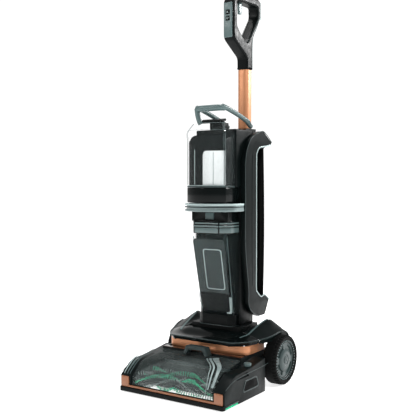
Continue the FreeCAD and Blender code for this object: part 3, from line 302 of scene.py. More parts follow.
def fix_normals(mesh, merge=0.0):
    bm = bmesh.new()
    bm.from_mesh(mesh)
    if merge:
        bmesh.ops.remove_doubles(bm, verts=bm.verts, dist=merge)
    bmesh.ops.recalc_face_normals(bm, faces=bm.faces)
    bm.to_mesh(mesh)
    bm.free()
    return mesh


def rounded(points, steps=5):
    """An outline with arcs at its corners; each point is (u, v) or (u, v, radius)."""
    outline = []
    count = len(points)
    for index, point in enumerate(points):
        corner = Vector(point[:2])
        radius = point[2] if len(point) > 2 else 0
        if not radius:
            outline.append(corner)
            continue
        before = Vector(points[index - 1][:2]) - corner
        after = Vector(points[(index + 1) % count][:2]) - corner
        turn = before.angle(after)
        reach = min(radius / math.tan(turn / 2), before.length * 0.49, after.length * 0.49)
        first = corner + before.normalized() * reach
        last = corner + after.normalized() * reach
        for step in range(steps + 1):
            t = step / steps
            outline.append(first.lerp(corner, t).lerp(corner.lerp(last, t), t))
    return outline


AXIS_TURNS = {
    "X": Matrix(((0, 0, 1), (1, 0, 0), (0, 1, 0))).to_4x4(),
    "Y": Matrix(((1, 0, 0), (0, 0, -1), (0, 1, 0))).to_4x4(),
    "Z": Matrix.Identity(4),
}


def prism_mesh(name, axis, low, high, outer, holes=(), bevel=1.0, smooth=3):
    """A plate square to an axis with rounded edges: outlines see (y, z), (x, z) or (x, y)."""
    curve = bpy.data.curves.new(name, "CURVE")
    curve.dimensions = "2D"
    curve.fill_mode = "BOTH"
    curve.extrude = ((high - low) / 2 - bevel) * MM
    curve.bevel_depth = bevel * MM
    curve.bevel_resolution = smooth
    curve.offset = -bevel * MM
    for outline in (outer, *holes):
        points = rounded(outline)
        spline = curve.splines.new("POLY")
        spline.points.add(len(points) - 1)
        for target, point in zip(spline.points, points):
            target.co = (point[0] * MM, point[1] * MM, 0, 1)
        spline.use_cyclic_u = True
    holder = bpy.data.objects.new(name, curve)
    bpy.context.scene.collection.objects.link(holder)
    bpy.context.view_layer.update()
    mesh = bpy.data.meshes.new_from_object(holder.evaluated_get(bpy.context.evaluated_depsgraph_get()))
    bpy.data.objects.remove(holder)
    middle = (low + high) / 2 * MM
    place = {"X": (middle, FRONT, 0), "Y": (0, FRONT + middle, 0), "Z": (0, FRONT, middle)}[axis]
    mesh.transform(Matrix.Translation(place) @ AXIS_TURNS[axis])
    return fix_normals(mesh, 1e-6)


def plate(name, axis, low, high, outer, material, body, nodes=(), holes=(), bevel=1.0, smooth=3):
    mesh = prism_mesh(name, axis, low, high, outer, holes, bevel, smooth)
    return finish_piece(name, mesh, material, body, nodes)


def box_outline(u_low, u_high, v_low, v_high, radius=0):
    return [(u_low, v_low, radius), (u_high, v_low, radius), (u_high, v_high, radius),
            (u_low, v_high, radius)]


def circle_outline(u, v, radius, steps=40):
    turn = 2 * math.pi / steps
    return [(u + radius * math.cos(turn * i), v + radius * math.sin(turn * i)) for i in range(steps)]


def loft_mesh(name, rings, closed=True, caps=True):
    """Quads between rings of equal length."""
    count = len(rings[0])
    vertices = [point for ring in rings for point in ring]
    faces = []
    for i in range(len(rings) - 1):
        for j in range(count if closed else count - 1):
            k = (j + 1) % count
            faces.append((i * count + j, i * count + k, (i + 1) * count + k, (i + 1) * count + j))
    if caps and closed:
        faces.append(tuple(range(count - 1, -1, -1)))
        faces.append(tuple(range((len(rings) - 1) * count, len(rings) * count)))
    return fix_normals(mesh_from(name, vertices, faces))


def revolve_mesh(name, centre, profile, steps=96):
    """Turns a closed profile about an axle along X; profile(angle) gives its (x, radius) points."""
    rings = []
    for step in range(steps):
        angle = 2 * math.pi * step / steps
        y, z = math.cos(angle), math.sin(angle)
        rings.append([at(x, centre[0] + r * y, centre[1] + r * z) for x, r in profile(angle)])
    rings.append(rings[0])
    mesh = loft_mesh(name, rings, True, False)
    return fix_normals(mesh, 1e-6)


def apply_modifier(mesh, kind, **settings):
    """The mesh after one modifier."""
    holder = bpy.data.objects.new("holder", mesh)
    bpy.context.scene.collection.objects.link(holder)
    modifier = holder.modifiers.new("m", kind)
    for key, value in settings.items():
        setattr(modifier, key, value)
    bpy.context.view_layer.update()
    result = bpy.data.meshes.new_from_object(holder.evaluated_get(bpy.context.evaluated_depsgraph_get()))
    bpy.data.objects.remove(holder)
    return result


def soften(node, material, width=0.8, segments=2):
    """Stands a copy of a node with rounded edges in for it."""
    bm = bmesh.new()
    bm.from_mesh(NODES[node].data)
    bmesh.ops.remove_doubles(bm, verts=bm.verts, dist=2e-6)
    bmesh.ops.dissolve_limit(bm, angle_limit=math.radians(1), verts=bm.verts, edges=bm.edges)
    sharp = [e for e in bm.edges if len(e.link_faces) == 2 and e.calc_face_angle(0) > math.radians(28)]
    bmesh.ops.bevel(bm, geom=sharp, offset=width * MM, segments=segments, profile=0.5,
                    affect="EDGES", clamp_overlap=True)
    bmesh.ops.triangulate(bm, faces=[f for f in bm.faces if len(f.verts) > 4])
    mesh = bpy.data.meshes.new(node + "_soft")
    bm.to_mesh(mesh)
    bm.free()
    body = NODES[node]["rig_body"]
    return finish_piece(node + "_soft", mesh, material, body, [node])


def tube_piece(name, points, radius, material, body, nodes=(), steps=4, closed=False):
    """A smooth round bar through points."""
    curve = bpy.data.curves.new(name, "CURVE")
    curve.dimensions = "3D"
    curve.bevel_depth = radius * MM
    curve.bevel_resolution = steps
    curve.use_fill_caps = True
    spline = curve.splines.new("NURBS")
    spline.points.add(len(points) - 1)
    for target, point in zip(spline.points, points):
        target.co = (*point, 1)
    spline.order_u = 3
    spline.use_endpoint_u = not closed
    spline.use_cyclic_u = closed
    spline.resolution_u = 10
    holder = bpy.data.objects.new(name, curve)
    bpy.context.scene.collection.objects.link(holder)
    bpy.context.view_layer.update()
    mesh = bpy.data.meshes.new_from_object(holder.evaluated_get(bpy.context.evaluated_depsgraph_get()))
    bpy.data.objects.remove(holder)
    return finish_piece(name, mesh, material, body, nodes, 60)


def paint(node, material):
    """Gives a node that stays its finished material."""
    for index in range(max(len(NODES[node].material_slots), 1)):
        if NODES[node].material_slots:
            NODES[node].material_slots[index].material = material
        else:
            NODES[node].data.materials.append(material)


# ---- cord ----------------------------------------------------------------------------------------

CORD_DIAMETER = 7
HANK_TURNS = 6
LANES = [(11.5, 20.5), (7, 26.5), (2.5, 20.5), (-2, 26.5), (-6.5, 20.5), (-11, 26.5), (-15.5, 21)]
FOLD_STEPS = 8


def strand_sway(turn, half):
    """How far one strand of one turn stands out at mid height."""
    return 2.5 + 2.5 * math.sin(2.3 * turn + half)


def hank_turn(turn, low_z, high_z):
    """One loop: down the front, under the low hook, up the back and over the top hook."""
    (start_x, start_r), (end_x, end_r) = LANES[turn], LANES[turn + 1]
    run = high_z - low_z
    places = [(-1, 0, low_z + 38)]
    places += [(-math.cos(math.pi * i / FOLD_STEPS), -math.sin(math.pi * i / FOLD_STEPS), low_z)
               for i in range(FOLD_STEPS + 1)]
    places += [(1, 0, low_z + 38), (1.02, 0, low_z + run * 0.22), (1.04, 0, low_z + run * 0.4),
               (1.04, 0, low_z + run * 0.6), (1.02, 0, low_z + run * 0.78), (1, 0, high_z - 38)]
    places += [(math.cos(math.pi * i / FOLD_STEPS), math.sin(math.pi * i / FOLD_STEPS), high_z)
               for i in range(FOLD_STEPS + 1)]
    places += [(-1, 0, high_z - 38), (-1, 0, low_z + run * 0.75), (-1, 0, low_z + run * 0.5),
               (-1, 0, low_z + run * 0.25)]
    points = []
    for index, (across, up, base) in enumerate(places):
        t = index / len(places)
        x = HANK_X + start_x + (end_x - start_x) * t
        reach = start_r + (end_r - start_r) * t
        hang = math.sin(math.pi * min(max((base - low_z) / run, 0), 1))
        out = strand_sway(turn, across) * hang if across > 0 else 0
        points.append(at(x, HOOK_Y + across * reach + out, base + up * reach))
    return points


def cord_points():
    gland_low = level("cord_gland", 0)
    gland_y = sum(span("cord_gland", 1)) / 2
    low_z = level("cord_hank", 0) + 33
    high_z = level("cord_hank", 1) - 34
    points = [at(HANK_X, gland_y, gland_low), at(HANK_X, gland_y, gland_low - 18),
              at(HANK_X + 1, gland_y + 2, gland_low - 40), at(HANK_X + 8, gland_y + 9, gland_low - 66),
              at(HANK_X + 14, gland_y + 19, gland_low - 92)]
    for turn in range(HANK_TURNS):
        points += hank_turn(turn, low_z, high_z)
    last_x, last_r = LANES[-1]
    fold = [(-1, 0, low_z + 38)] + [
        (-math.cos(math.pi * i / FOLD_STEPS), -math.sin(math.pi * i / FOLD_STEPS), low_z)
        for i in range(FOLD_STEPS + 1)]
    points += [at(HANK_X + last_x, HOOK_Y + across * last_r, base + up * last_r) for across, up, base in fold]
    plug_low, plug_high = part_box("cord_plug")
    tail = Vector(((plug_low[0] + plug_high[0]) / 2, (plug_low[1] + plug_high[1]) / 2, plug_low[2]))
    points += [tail + Vector((0.009, 0.003, -0.13)), tail + Vector((0.007, 0.003, -0.09)),
               tail + Vector((0.002, 0.001, -0.05)), tail + Vector((0, 0, -0.02)), tail]
    return points


def make_cord():
    points = cord_points()
    curve = bpy.data.curves.new("power_cord", "CURVE")
    curve.dimensions = "3D"
    curve.bevel_depth = CORD_DIAMETER / 2 * MM
    curve.bevel_resolution = 4
    curve.use_fill_caps = True
    spline = curve.splines.new("NURBS")
    spline.points.add(len(points) - 1)
    for target, point in zip(spline.points, points):
        target.co = (*point, 1)
    spline.order_u = 3
    spline.use_endpoint_u = True
    spline.resolution_u = 6
    cord = bpy.data.objects.new("power_cord", curve)
    bpy.context.scene.collection.objects.link(cord)
    curve.materials.append(SHEATH)
    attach(cord, "upright")
    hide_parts("cord_lead", "cord_hank")
    parts = [make_relief(), *make_plug()]


def make_relief():
    """A strain relief: a flange, then ribs that taper to the cord."""
    low, high = span("cord_gland", 2)
    y = sum(span("cord_gland", 1)) / 2
    profile = [(high, 6.3), (high - 4, 6.3), (high - 4.2, 5.4)]
    for rib in range(6):
        top = high - 5.5 - rib * 4.2
        width = 5.4 - rib * 0.2
        profile += [(top, width - 0.9), (top - 1.2, width - 0.9), (top - 1.4, width), (top - 3.6, width)]
    profile += [(low + 0.4, 4.1), (low, 3.8)]
    rings = [ring_z(HANK_X, y, z, radius, radius, 24) for z, radius in profile]
    return finish_piece("strain_relief", loft_mesh("strain_relief", rings), SHEATH, "upright",
                        ["cord_gland"])


def ring_z(x, y, z, half_x, half_y, steps=32, power=1.0):
    ring = []
    for i in range(steps):
        angle = 2 * math.pi * i / steps
        c, s = math.cos(angle), math.sin(angle)
        ring.append(at(x + half_x * math.copysign(abs(c) ** power, c),
                       y + half_y * math.copysign(abs(s) ** power, s), z))
    return ring


def make_plug():
    """A moulded plug, pins up, with a ribbed tail."""
    low, high = span("cord_plug", 2)
    x = sum(span("cord_plug", 0)) / 2
    y = sum(span("cord_plug", 1)) / 2
    top = high - 18
    sections = [(low, 4.2, 4.2), (low + 3, 5, 5), (low + 5, 6.4, 6), (low + 7, 5.6, 5.6), (low + 9, 7, 6.6),
                (low + 11, 6.4, 6.2), (low + 16, 10, 8.6), (low + 21, 11.9, 9.8), (top - 1.5, 11.9, 9.8),
                (top, 11, 9)]
    rings = [ring_z(x, y, z, half_x, half_y, 32, 0.62) for z, half_x, half_y in sections]
    plug = finish_piece("mains_plug", loft_mesh("mains_plug", rings), SHEATH, "upright",
                        ["cord_plug"])
    pins = []
    for offset in (-6, 6):
        outline = box_outline(x + offset - 0.8, x + offset + 0.8, y - 5, y + 2)
        pins.append(plate(f"plug_pin_{len(pins)}", "Z", top - 1, high - 2, outline, STEEL, "upright",
                          bevel=0.3))
    pins.append(plate("plug_pin_earth", "Z", top - 1, high, circle_outline(x, y + 6, 2.4, 20), STEEL,
                      "upright",
                      bevel=0.6))
    return [plug, *pins]


# ---- brushes, rollers and wheels -----------------------------------------------------------------

def add_strand(vertices, faces, root, tip, thick):
    """A three-sided bristle."""
    line = (tip - root).normalized()
    side = line.orthogonal().normalized()
    other = line.cross(side)
    start = len(vertices)
    for place, width in ((root, thick), (tip, thick * 0.6)):
        for turn in range(3):
            angle = 2 * math.pi * turn / 3
            vertices.append(place + (side * math.cos(angle) + other * math.sin(angle)) * width)
    for turn in range(3):
        after = (turn + 1) % 3
        faces.append((start + turn, start + after, start + 3 + after, start + 3 + turn))
    faces.append((start + 3, start + 4, start + 5))


def add_tuft(vertices, faces, root, direction, length, count, spread_by, thick):
    for _ in range(count):
        offset = Vector([random.gauss(0, 0.7) for _ in range(3)]) * MM
        lean = Vector([random.gauss(0, spread_by) for _ in range(3)])
        tip = root + offset + (direction + lean).normalized() * length * random.uniform(0.94, 1.0)
        add_strand(vertices, faces, root + offset * 0.6, tip, thick)


def make_brush_roll(node, body, phase):
    low_x, high_x = span(node, 0)
    y = sum(span(node, 1)) / 2
    z = sum(span(node, 2)) / 2
    radius = (span(node, 2)[1] - span(node, 2)[0]) / 2
    belt_low, belt_high = span("drive_belt", 0)
    core = 11.5
    profile = [(low_x, 5), (low_x, core - 1), (low_x + 1, core), (high_x - 1, core), (high_x, core - 1),
               (high_x, 5)]
    mesh = revolve_mesh(node + "_core", (y, z), lambda angle: profile, 48)
    finish_piece(node + "_core", mesh, BLACK, body, [node])
    for name, material, rows, strands, reach, slot in (
            ("green", MINT, 2, 15, radius, "mint_bristle"),
            ("grey", PALE_BRISTLE, 2, 13, radius - 1.5, "bristle")):
        vertices, faces = [], []
        count = int((high_x - low_x - 12) / 6)
        for row in range(rows):
            for index in range(count):
                x = low_x + 8 + index * 6
                if belt_low - 8 < x < belt_high + 8:
                    continue
                swing = abs(index / count - 0.5) * 2.4 * math.pi
                angle = phase + 2 * math.pi * row / rows + swing + (math.pi / 2 if name == "grey" else 0)
                direction = Vector((0, math.cos(angle), math.sin(angle)))
                root = at(x, y, z) + direction * (core - 0.5) * MM
                length = (reach - core) * MM
                add_tuft(vertices, faces, root, direction, length, strands, 0.1, 0.32 * MM)
        mesh = mesh_from(f"{node}_{name}", vertices, faces)
        finish_piece(f"{node}_{name}_tufts", mesh, material, body)


def make_edge_brushes():
    """Rows of green bristle beside the nose, each set in a grey holder."""
    low_x, high_x = span("edge_brushes", 0)
    y_low, y_high = span("edge_brushes", 1)
    z_low, z_high = span("edge_brushes", 2)
    for side, name in ((1, "right"), (-1, "left")):
        inner, outer = sorted((side * (high_x - 7), side * high_x))
        holder = [(y_low, z_high - 3, 1), (y_high, z_high - 3, 1), (y_high, z_high, 1), (y_low, z_high, 1)]
        replaced = ["edge_brushes"] if side == 1 else []
        plate(f"edge_holder_{name}", "X", inner, outer, holder, SLATE, "base", replaced,
              bevel=0.6)
        vertices, faces = [], []
        for row in range(3):
            x = inner + 1.4 + row * 1.9
            count = int((y_high - y_low - 3) / 1.7)
            for index in range(count):
                root = at(x, y_low + 1.5 + index * 1.7, z_high - 2.6)
                direction = Vector((side * 0.04, 0, -1))
                add_tuft(vertices, faces, root, direction, (z_high - 2.8 - z_low) * MM, 6, 0.05, 0.3 * MM)
        finish_piece(f"edge_tufts_{name}", mesh_from(f"edge_tufts_{name}", vertices, faces), MINT, "base")


TREAD_NOTCHES = 42


def make_wheel(side, name, body):
    """A tyre with notched shoulders round a dished hub cap with four crescents."""
    inner, outer = (side * TYRE_IN, side * TYRE_OUT)
    tread = (span("tyre_right", 2)[1] - span("tyre_right", 2)[0]) / 2
    hub_out = side * (TYRE_OUT - 5)

    def tyre(angle):
        phase = (angle / (2 * math.pi) * TREAD_NOTCHES) % 1
        cut = 2.6 if phase < 0.34 else 0
        shoulder = tread - 3.4
        step = side
        return [
            (inner + step * 6, 58.2), (inner, 60), (inner, shoulder - cut),
            (inner + step * 2, tread - 1.2 - cut),
            (inner + step * 5.5, tread - cut * 0.9), (inner + step * 6.5, tread),
            (outer - step * 12.5, tread),
            (outer - step * 11.5, tread - cut * 0.9), (outer - step * 4, tread - 1.2 - cut),
            (outer - step * 1.4, shoulder - cut), (outer - step * 0.6, 64.5), (outer - step * 1.2, 61.2),
            (outer - step * 3.2, 58.2),
        ]

    mesh = revolve_mesh(f"tyre_{name}", (AXLE_Y, AXLE_Z), tyre, TREAD_NOTCHES * 6)
    finish_piece(f"tread_{name}", mesh, TYRE, body, [f"tyre_{name}"])

    def hub(angle):
        phase = (angle / (2 * math.pi) * 4) % 1
        dip = 3.4 if 0.12 < phase < 0.8 else 0
        face = hub_out
        return [
            (inner + side * 8, 10), (inner + side * 8, 57.9), (face - side * 1.5, 57.9), (face, 56.4),
            (face, 52), (face - side * 2.4, 49.5), (face - side * 2.4, 44.2),
            (face - side * (2.4 + dip), 43.4),
            (face - side * (2.4 + dip), 33), (face - side * 1.2, 31.8), (face + side * 0.8, 28),
            (face + side * 2.2, 25), (face + side * 2.2, 15.5), (face + side * 1, 14.4),
            (face + side * 1, 11),
            (face + side * 3, 9.6), (face + side * 3.4, 7), (face + side * 3.6, 2), (face - side * 8, 2),
        ]

    mesh = revolve_mesh(f"hub_{name}", (AXLE_Y, AXLE_Z), hub, 144)
    finish_piece(f"hub_cap_{name}", mesh, HUB, body, [f"wheel_hub_{name}"])


def make_hub_notches(side, name, body):
    """A ring of small pale notches between the cap and the tyre."""
    face = side * (TYRE_OUT - 3.4)
    vertices, faces = [], []
    for index in range(TREAD_NOTCHES):
        middle = 2 * math.pi * index / TREAD_NOTCHES
        corners = [(radius, middle + swing) for radius, swing in
                   ((51.5, -0.032), (51.5, 0.032), (55.5, 0.022), (55.5, -0.022))]
        start = len(vertices)
        for depth in (0, -side * 2.5):
            vertices += [at(face + depth, AXLE_Y + r * math.cos(a), AXLE_Z + r * math.sin(a))
                         for r, a in corners]
        faces += [tuple(start + i for i in face_ids) for face_ids in
                  ((0, 1, 2, 3), (7, 6, 5, 4), (0, 4, 5, 1), (1, 5, 6, 2), (2, 6, 7, 3), (3, 7, 4, 0))]
    mesh = fix_normals(mesh_from(f"hub_notches_{name}", vertices, faces))
    finish_piece(f"hub_notches_{name}", mesh, GREYGREEN, body)
    ring = [(face - side * 2, 49.8), (face - side * 0.4, 50), (face - side * 0.4, 57.6),
            (face - side * 2, 57.9)]
    mesh = revolve_mesh(f"hub_ring_{name}", (AXLE_Y, AXLE_Z), lambda angle: ring, 96)
    finish_piece(f"hub_ring_{name}", mesh, BLACK_MATT, body)


# ---- base ----------------------------------------------------------------------------------------

WINDOW_PROFILE = [(9.3, 22), (9.6, 45), (22, 59), (42, 74.3), (60, 83.3), (111, 89.3), (145, 96.2)]


def window_height(y):
    """The outside of the window over the brushes, found along its profile."""
    for (y0, z0), (y1, z1) in zip(WINDOW_PROFILE, WINDOW_PROFILE[1:]):
        if y0 <= y <= y1:
            return z0 + (z1 - z0) * (y - y0) / (y1 - y0)
    return WINDOW_PROFILE[-1][1]


def ribbon(name, path, half_width, thick, material, body, nodes=(), taper=None, normals=None):
    """A flat strip along a path with a rounded back; widths may vary along it."""
    rings = []
    count = len(path)
    for index, point in enumerate(path):
        before = path[max(index - 1, 0)]
        after = path[min(index + 1, count - 1)]
        line = (after - before).normalized()
        up = normals[index] if normals else Vector((0, 0, 1))
        side = line.cross(up).normalized()
        up = side.cross(line).normalized()
        width = (taper(index / (count - 1)) if taper else 1) * half_width * MM
        ring = []
        for across, high in ((-1, 0), (-0.94, 0.6), (-0.75, 0.93), (-0.3, 1), (0.3, 1), (0.75, 0.93),
                             (0.94, 0.6),
                             (1, 0), (0.6, -0.4), (-0.6, -0.4)):
            ring.append(point + side * across * width + up * high * thick * MM)
        rings.append(ring)
    return finish_piece(name, loft_mesh(name, rings), material, body, nodes, 40)


def smooth_path(points, steps=8):
    """Catmull-Rom points through a list of places."""
    result = []
    for index in range(len(points) - 1):
        p0 = points[max(index - 1, 0)]
        p1, p2 = points[index], points[index + 1]
        p3 = points[min(index + 2, len(points) - 1)]
        for step in range(steps):
            t = step / steps
            result.append(0.5 * ((2 * p1) + (p2 - p0) * t + (2 * p0 - 5 * p1 + 4 * p2 - p3) * t * t
                                 + (3 * p1 - p0 - 3 * p2 + p3) * t ** 3))
    result.append(points[-1])
    return result


def make_window():
    # Painted highlights: strips along the left arm stand for light on the clear window over it; the dark
    # middle strip is painted shade beneath it.
    for index, (x, width, material) in enumerate(((-160, 1.6, PALE_TRIM_AND_HIGHLIGHT), (-150, 2.6, SMOKE_BAND),
                                                  (-141, 1.0, GREYGREEN))):
        path = smooth_path([at(x, y, window_height(y) + 0.2) for y in (12, 20, 32, 46, 62, 84, 108, 130)], 5)
        ribbon(f"arm_painted_highlight_{index}", path, width, 0.8, material, "base",
               taper=lambda t: 0.4 + 0.8 * math.sin(math.pi * t))
    soften("brush_window", WINDOW, width=1.6, segments=3)
    soften("suction_duct", WINDOW, width=2.5, segments=3)
    soften("window_latch", SLATE, width=3, segments=4)
    # Painted reflection: pale and dark stripes along the window's right side stand for bands of light
    # reflected in the clear cover.
    for side, name, strength in ((1, "right", 1.0),):
        for stripe, (shift, width, material) in enumerate(
                ((-4, 7.5, PALE_REFLECTION), (7.5, 1.6, BLACK), (12.5, 3.4, PALE_TRIM_AND_HIGHLIGHT), (18.5, 1.4, BLACK),
                 (22.5, 2.2, PALE_REFLECTION))):
            route = [(58, 132), (66, 122), (84, 104), (104, 78), (116, 50), (124, 14)]
            path = []
            for x, y in route:
                place = max(x - shift * 0.8, 20)
                path.append(at(side * place, y - shift * 0.35 if y > 20 else y,
                               window_height(max(y - shift * 0.35, 9.4)) + 0.2))
            ribbon(f"window_band_{name}_{stripe}", smooth_path(path), width * strength, 0.9, material,
                   "window",
                   taper=lambda t: 1.25 - 0.85 * t)


def between(line, place):
    """A smooth value read off a list of (place, value)."""
    if place <= line[0][0]:
        return line[0][1]
    for index, ((p0, v0), (p1, v1)) in enumerate(zip(line, line[1:])):
        if place <= p1:
            t = (place - p0) / (p1 - p0)
            before = line[index - 1] if index else line[index]
            after = line[index + 2] if index + 2 < len(line) else line[index + 1]
            slope0 = (v1 - before[1]) / (p1 - before[0]) * (p1 - p0)
            slope1 = (after[1] - v0) / (after[0] - p0) * (p1 - p0)
            return ((2 * t ** 3 - 3 * t * t + 1) * v0 + (t ** 3 - 2 * t * t + t) * slope0
                    + (3 * t * t - 2 * t ** 3) * v1 + (t ** 3 - t * t) * slope1)
    return line[-1][1]


HOOD_FRONT, HOOD_REAR = span("base_hood", 1)
SLOT_FRONT, SLOT_HALF = 222, 92
EDGE_X = [(0, 94), (6, 106), (20, 119), (39, 133), (84, 153), (115, 164), (150, 169), (210, 169.5)]
EDGE_Z = [(0, 136), (39, 136), (84, 138.5), (115, 143), (150, 149), (175, 150), (195, 143), (210, 133)]
RIDGE_X = [(0, 78), (39, 98), (71, 110), (100, 113), (136, 117), (164, 123), (210, 136)]
RIDGE_Z = [(0, 137), (25, 139), (54, 146), (71, 149), (100, 160), (136, 172), (164, 179), (185, 169),
           (210, 144)]
DECK_Z = [(0, 137.5), (9, 137), (15, 134), (35, 137), (55, 148), (72, 153), (140, 160), (175, 158),
          (210, 136)]


def hood_section(back, inside):
    """The hood's height across its right half at one distance behind its front edge."""
    edge_x, edge_z = between(EDGE_X, back), between(EDGE_Z, back)
    ridge_x, ridge_z = between(RIDGE_X, back), between(RIDGE_Z, back)
    deck = between(DECK_Z, back)
    start = max(inside, 0)
    flat = ridge_x - 30
    section = [(start, deck if not inside else 127)]
    if inside:
        section.append((start + 0.5, deck))
        flat = max(flat, start + 4)
    else:
        section.append((flat * 0.5, deck))
    section += [(flat, deck), (flat + (ridge_x - flat) * 0.35, deck + (ridge_z - deck) * 0.2),
                (flat + (ridge_x - flat) * 0.7, deck + (ridge_z - deck) * 0.72), (ridge_x - 1, ridge_z - 0.4),
                (ridge_x + 2.5, ridge_z - 0.6)]
    for t, lift in ((0.25, 0.035), (0.5, 0.02), (0.75, -0.03)):
        section.append((ridge_x + (edge_x - ridge_x) * t, ridge_z + (edge_z - ridge_z) * t
                        + lift * (ridge_z - edge_z) * 4 * 0.5))
    section += [(edge_x - 2.5, edge_z + 1.2), (edge_x, edge_z - 0.4), (edge_x - 0.8, edge_z - 3.2),
                (edge_x - 5, edge_z - 6), (edge_x - 6, 126.5)]
    return section


def smooth_mesh(mesh, level_count):
    return apply_modifier(mesh, "SUBSURF", levels=level_count, render_levels=level_count)


def make_hood():
    deck_rings = []
    for back in (0, 2, 6, 10, 16, 22, 30, 40, 50, 60, SLOT_FRONT - HOOD_FRONT):
        section = hood_section(back, 0)
        y = HOOD_FRONT + back
        nose = 1.6 if back == 0 else 0
        ring = [at(-x, y, z - nose) for x, z in reversed(section)] + [at(x, y, z - nose)
                                                                      for x, z in section[1:]]
        deck_rings.append(ring)
    front = [Vector((p.x * 0.995, p.y + 0.004, 0.1265)) for p in deck_rings[0]]
    mesh = loft_mesh("hood_front", [front, *deck_rings], closed=False)
    finish_piece("hood_front", smooth_mesh(mesh, 2), GLOSS, "base", ["base_hood"], 50)
    for side, name in ((1, "right"), (-1, "left")):
        rings = []
        for back in range(SLOT_FRONT - int(HOOD_FRONT), int(HOOD_REAR - HOOD_FRONT) + 1, 8):
            rings.append([at(side * x, HOOD_FRONT + back, z) for x, z in hood_section(back, SLOT_HALF)])
        rings.append([at(side * x, HOOD_REAR, z - 3) for x, z in hood_section(HOOD_REAR - HOOD_FRONT,
                SLOT_HALF)])
        rings.append([Vector((p.x, p.y, 0.1265)) for p in rings[-1]])
        mesh = loft_mesh(f"fender_{name}", rings, closed=False)
        finish_piece(f"fender_{name}", smooth_mesh(mesh, 2), PANEL, "base", (), 50)
    # Painted highlight: a pale strip along the hood's front edge where the light catches it.
    backs = [150, 130, 115, 100, 84, 60, 39, 28, 20, 12, 6, 2, 0]
    left = [at(-between(EDGE_X, b), HOOD_FRONT + b + 0.3, between(EDGE_Z, b) + 0.6) for b in backs]
    right = [at(between(EDGE_X, b), HOOD_FRONT + b + 0.3, between(EDGE_Z, b) + 0.6) for b in reversed(backs)]
    ribbon("hood_rim_highlight", smooth_path(left + right, 5), 2.6, 1.9, SLATE, "base")
    # Painted highlight: a pale strip along each fender's ridge, where the glossy crest catches the light.
    for side, name in ((1, "right"), (-1, "left")):
        path = [at(side * between(RIDGE_X, b), HOOD_FRONT + b, between(RIDGE_Z, b) + 0.1)
                for b in range(45, 190, 12)]
        ribbon(f"fender_ridge_highlight_{name}", smooth_path(path, 4), 3.0, 0.9, GREYGREEN, "base")
    # Painted highlight: a pale strip round the dock's top front edge.
    dock = [(-60, 262), (-60, 238), (-56, 231), (-42, 222.8), (42, 222.8), (56, 231), (60, 238), (60, 262)]
    ribbon("dock_rim_highlight", smooth_path([at(x, y, DOCK_TOP - 31) for x, y in dock], 5), 1.6, 1.4, SLATE, "upright")


def make_base():
    soften("base_housing", PANEL, width=2.2, segments=3)
    soften("front_bumper", BLACK, width=1.6, segments=3)
    soften("copper_lip", COPPER_LIP, width=2.3, segments=4)
    soften("amber_deck", AMBER, width=1.2)
    soften("copper_band", COPPER_BAND, width=1.4, segments=3)
    soften("release_button", GREYGREEN, width=2, segments=3)
    soften("belt_cover", BLACK, width=1.2)
    soften("rear_axle", STEEL, width=0.6)
    soften("brush_motor", STEEL, width=1.2)
    soften("spray_bar", SLATE, width=0.8)
    soften("motor_pulley", STEEL, width=0.4)
    paint("front_rollers", SLATE)
    soften("recline_pedal", SLATE, width=2)
    paint("drive_belt", TYRE)
    half = BASE_HALF
    for side, name in ((1, "right"), (-1, "left")):
        handhold = [(98, 28, 6), (176, 28, 6), (166, 52, 8), (112, 52, 8)]
        rim = [(94, 24.5, 8), (181, 24.5, 8), (169.5, 55.5, 10), (108.5, 55.5, 10)]
        low, high = sorted((side * (half - 1), side * (half + 0.9)))
        plate(f"handhold_rim_{name}", "X", low, high, rim, SLATE, "base", holes=[handhold],
              bevel=0.6)
        low, high = sorted((side * (half - 1), side * (half + 0.25)))
        plate(f"handhold_dark_{name}", "X", low, high, handhold, BLACK_MATT, "base",
              bevel=0.2)
        # Painted highlight: a pale strip along the character line on each side of the base.
        line = [at(side * (half + 0.1), y, z) for y, z in ((12, 52), (50, 66), (110, 71), (190, 73),
                                                           (232, 76))]
        ribbon(f"side_line_highlight_{name}", smooth_path(line), 0.9, 0.6, SLATE, "base",
               normals=[Vector((side, 0, 0))] * len(smooth_path(line)))


# ---- upright body --------------------------------------------------------------------------------

def make_side_frame(side, name):
    """A tall bracket with a hooked horn at each end, and the hook that holds the cord."""
    h, l = SHOULDER_TOP, DOCK_TOP
    outline = [(250, h - 84, 60), (275, h - 31, 40), (304, h - 12, 30), (339, h - 1, 14), (357, h - 1, 8),
               (404, h - 30, 2), (403, h - 39, 2), (357, h - 46, 6), (330, h - 50, 16), (316, h - 64, 16),
               (312, h - 84, 20), (312, l + 72, 14), (318, l + 60, 8), (330, l + 49, 12), (345, l + 42, 10),
               (363, l + 47, 8), (391, l + 29, 3), (381, l + 10, 4), (366, l - 14, 6), (327, l - 14, 20),
               (287, l + 6, 26), (270, l + 29, 26), (270, l + 72, 60), (250, l + 185, 120)]
    inner, outer = span("side_frame_right", 0)
    low, high = sorted((side * 68.3, side * outer))
    mesh = prism_mesh(f"side_frame_{name}", "X", low, high, outline, (), 2.4, 5)
    finish_piece(f"bracket_{name}", mesh, PANEL, "upright", [f"side_frame_{name}"])
    for index, z in enumerate((level("cord_hank", 0) + 27, level("cord_hank", 1) - 27)):
        rings = []
        for x, radius in ((68.6, 11), (34, 11), (33, 12.5), (30.5, 12.5), (29, 10)):
            rings.append([at(side * x, HOOK_Y + radius * math.cos(a), z + radius * math.sin(a))
                          for a in (2 * math.pi * i / 40 for i in range(40))])
        finish_piece(f"cord_hook_{name}_{index}", loft_mesh(f"cord_hook_{name}_{index}", rings), BLACK,
                     "upright")


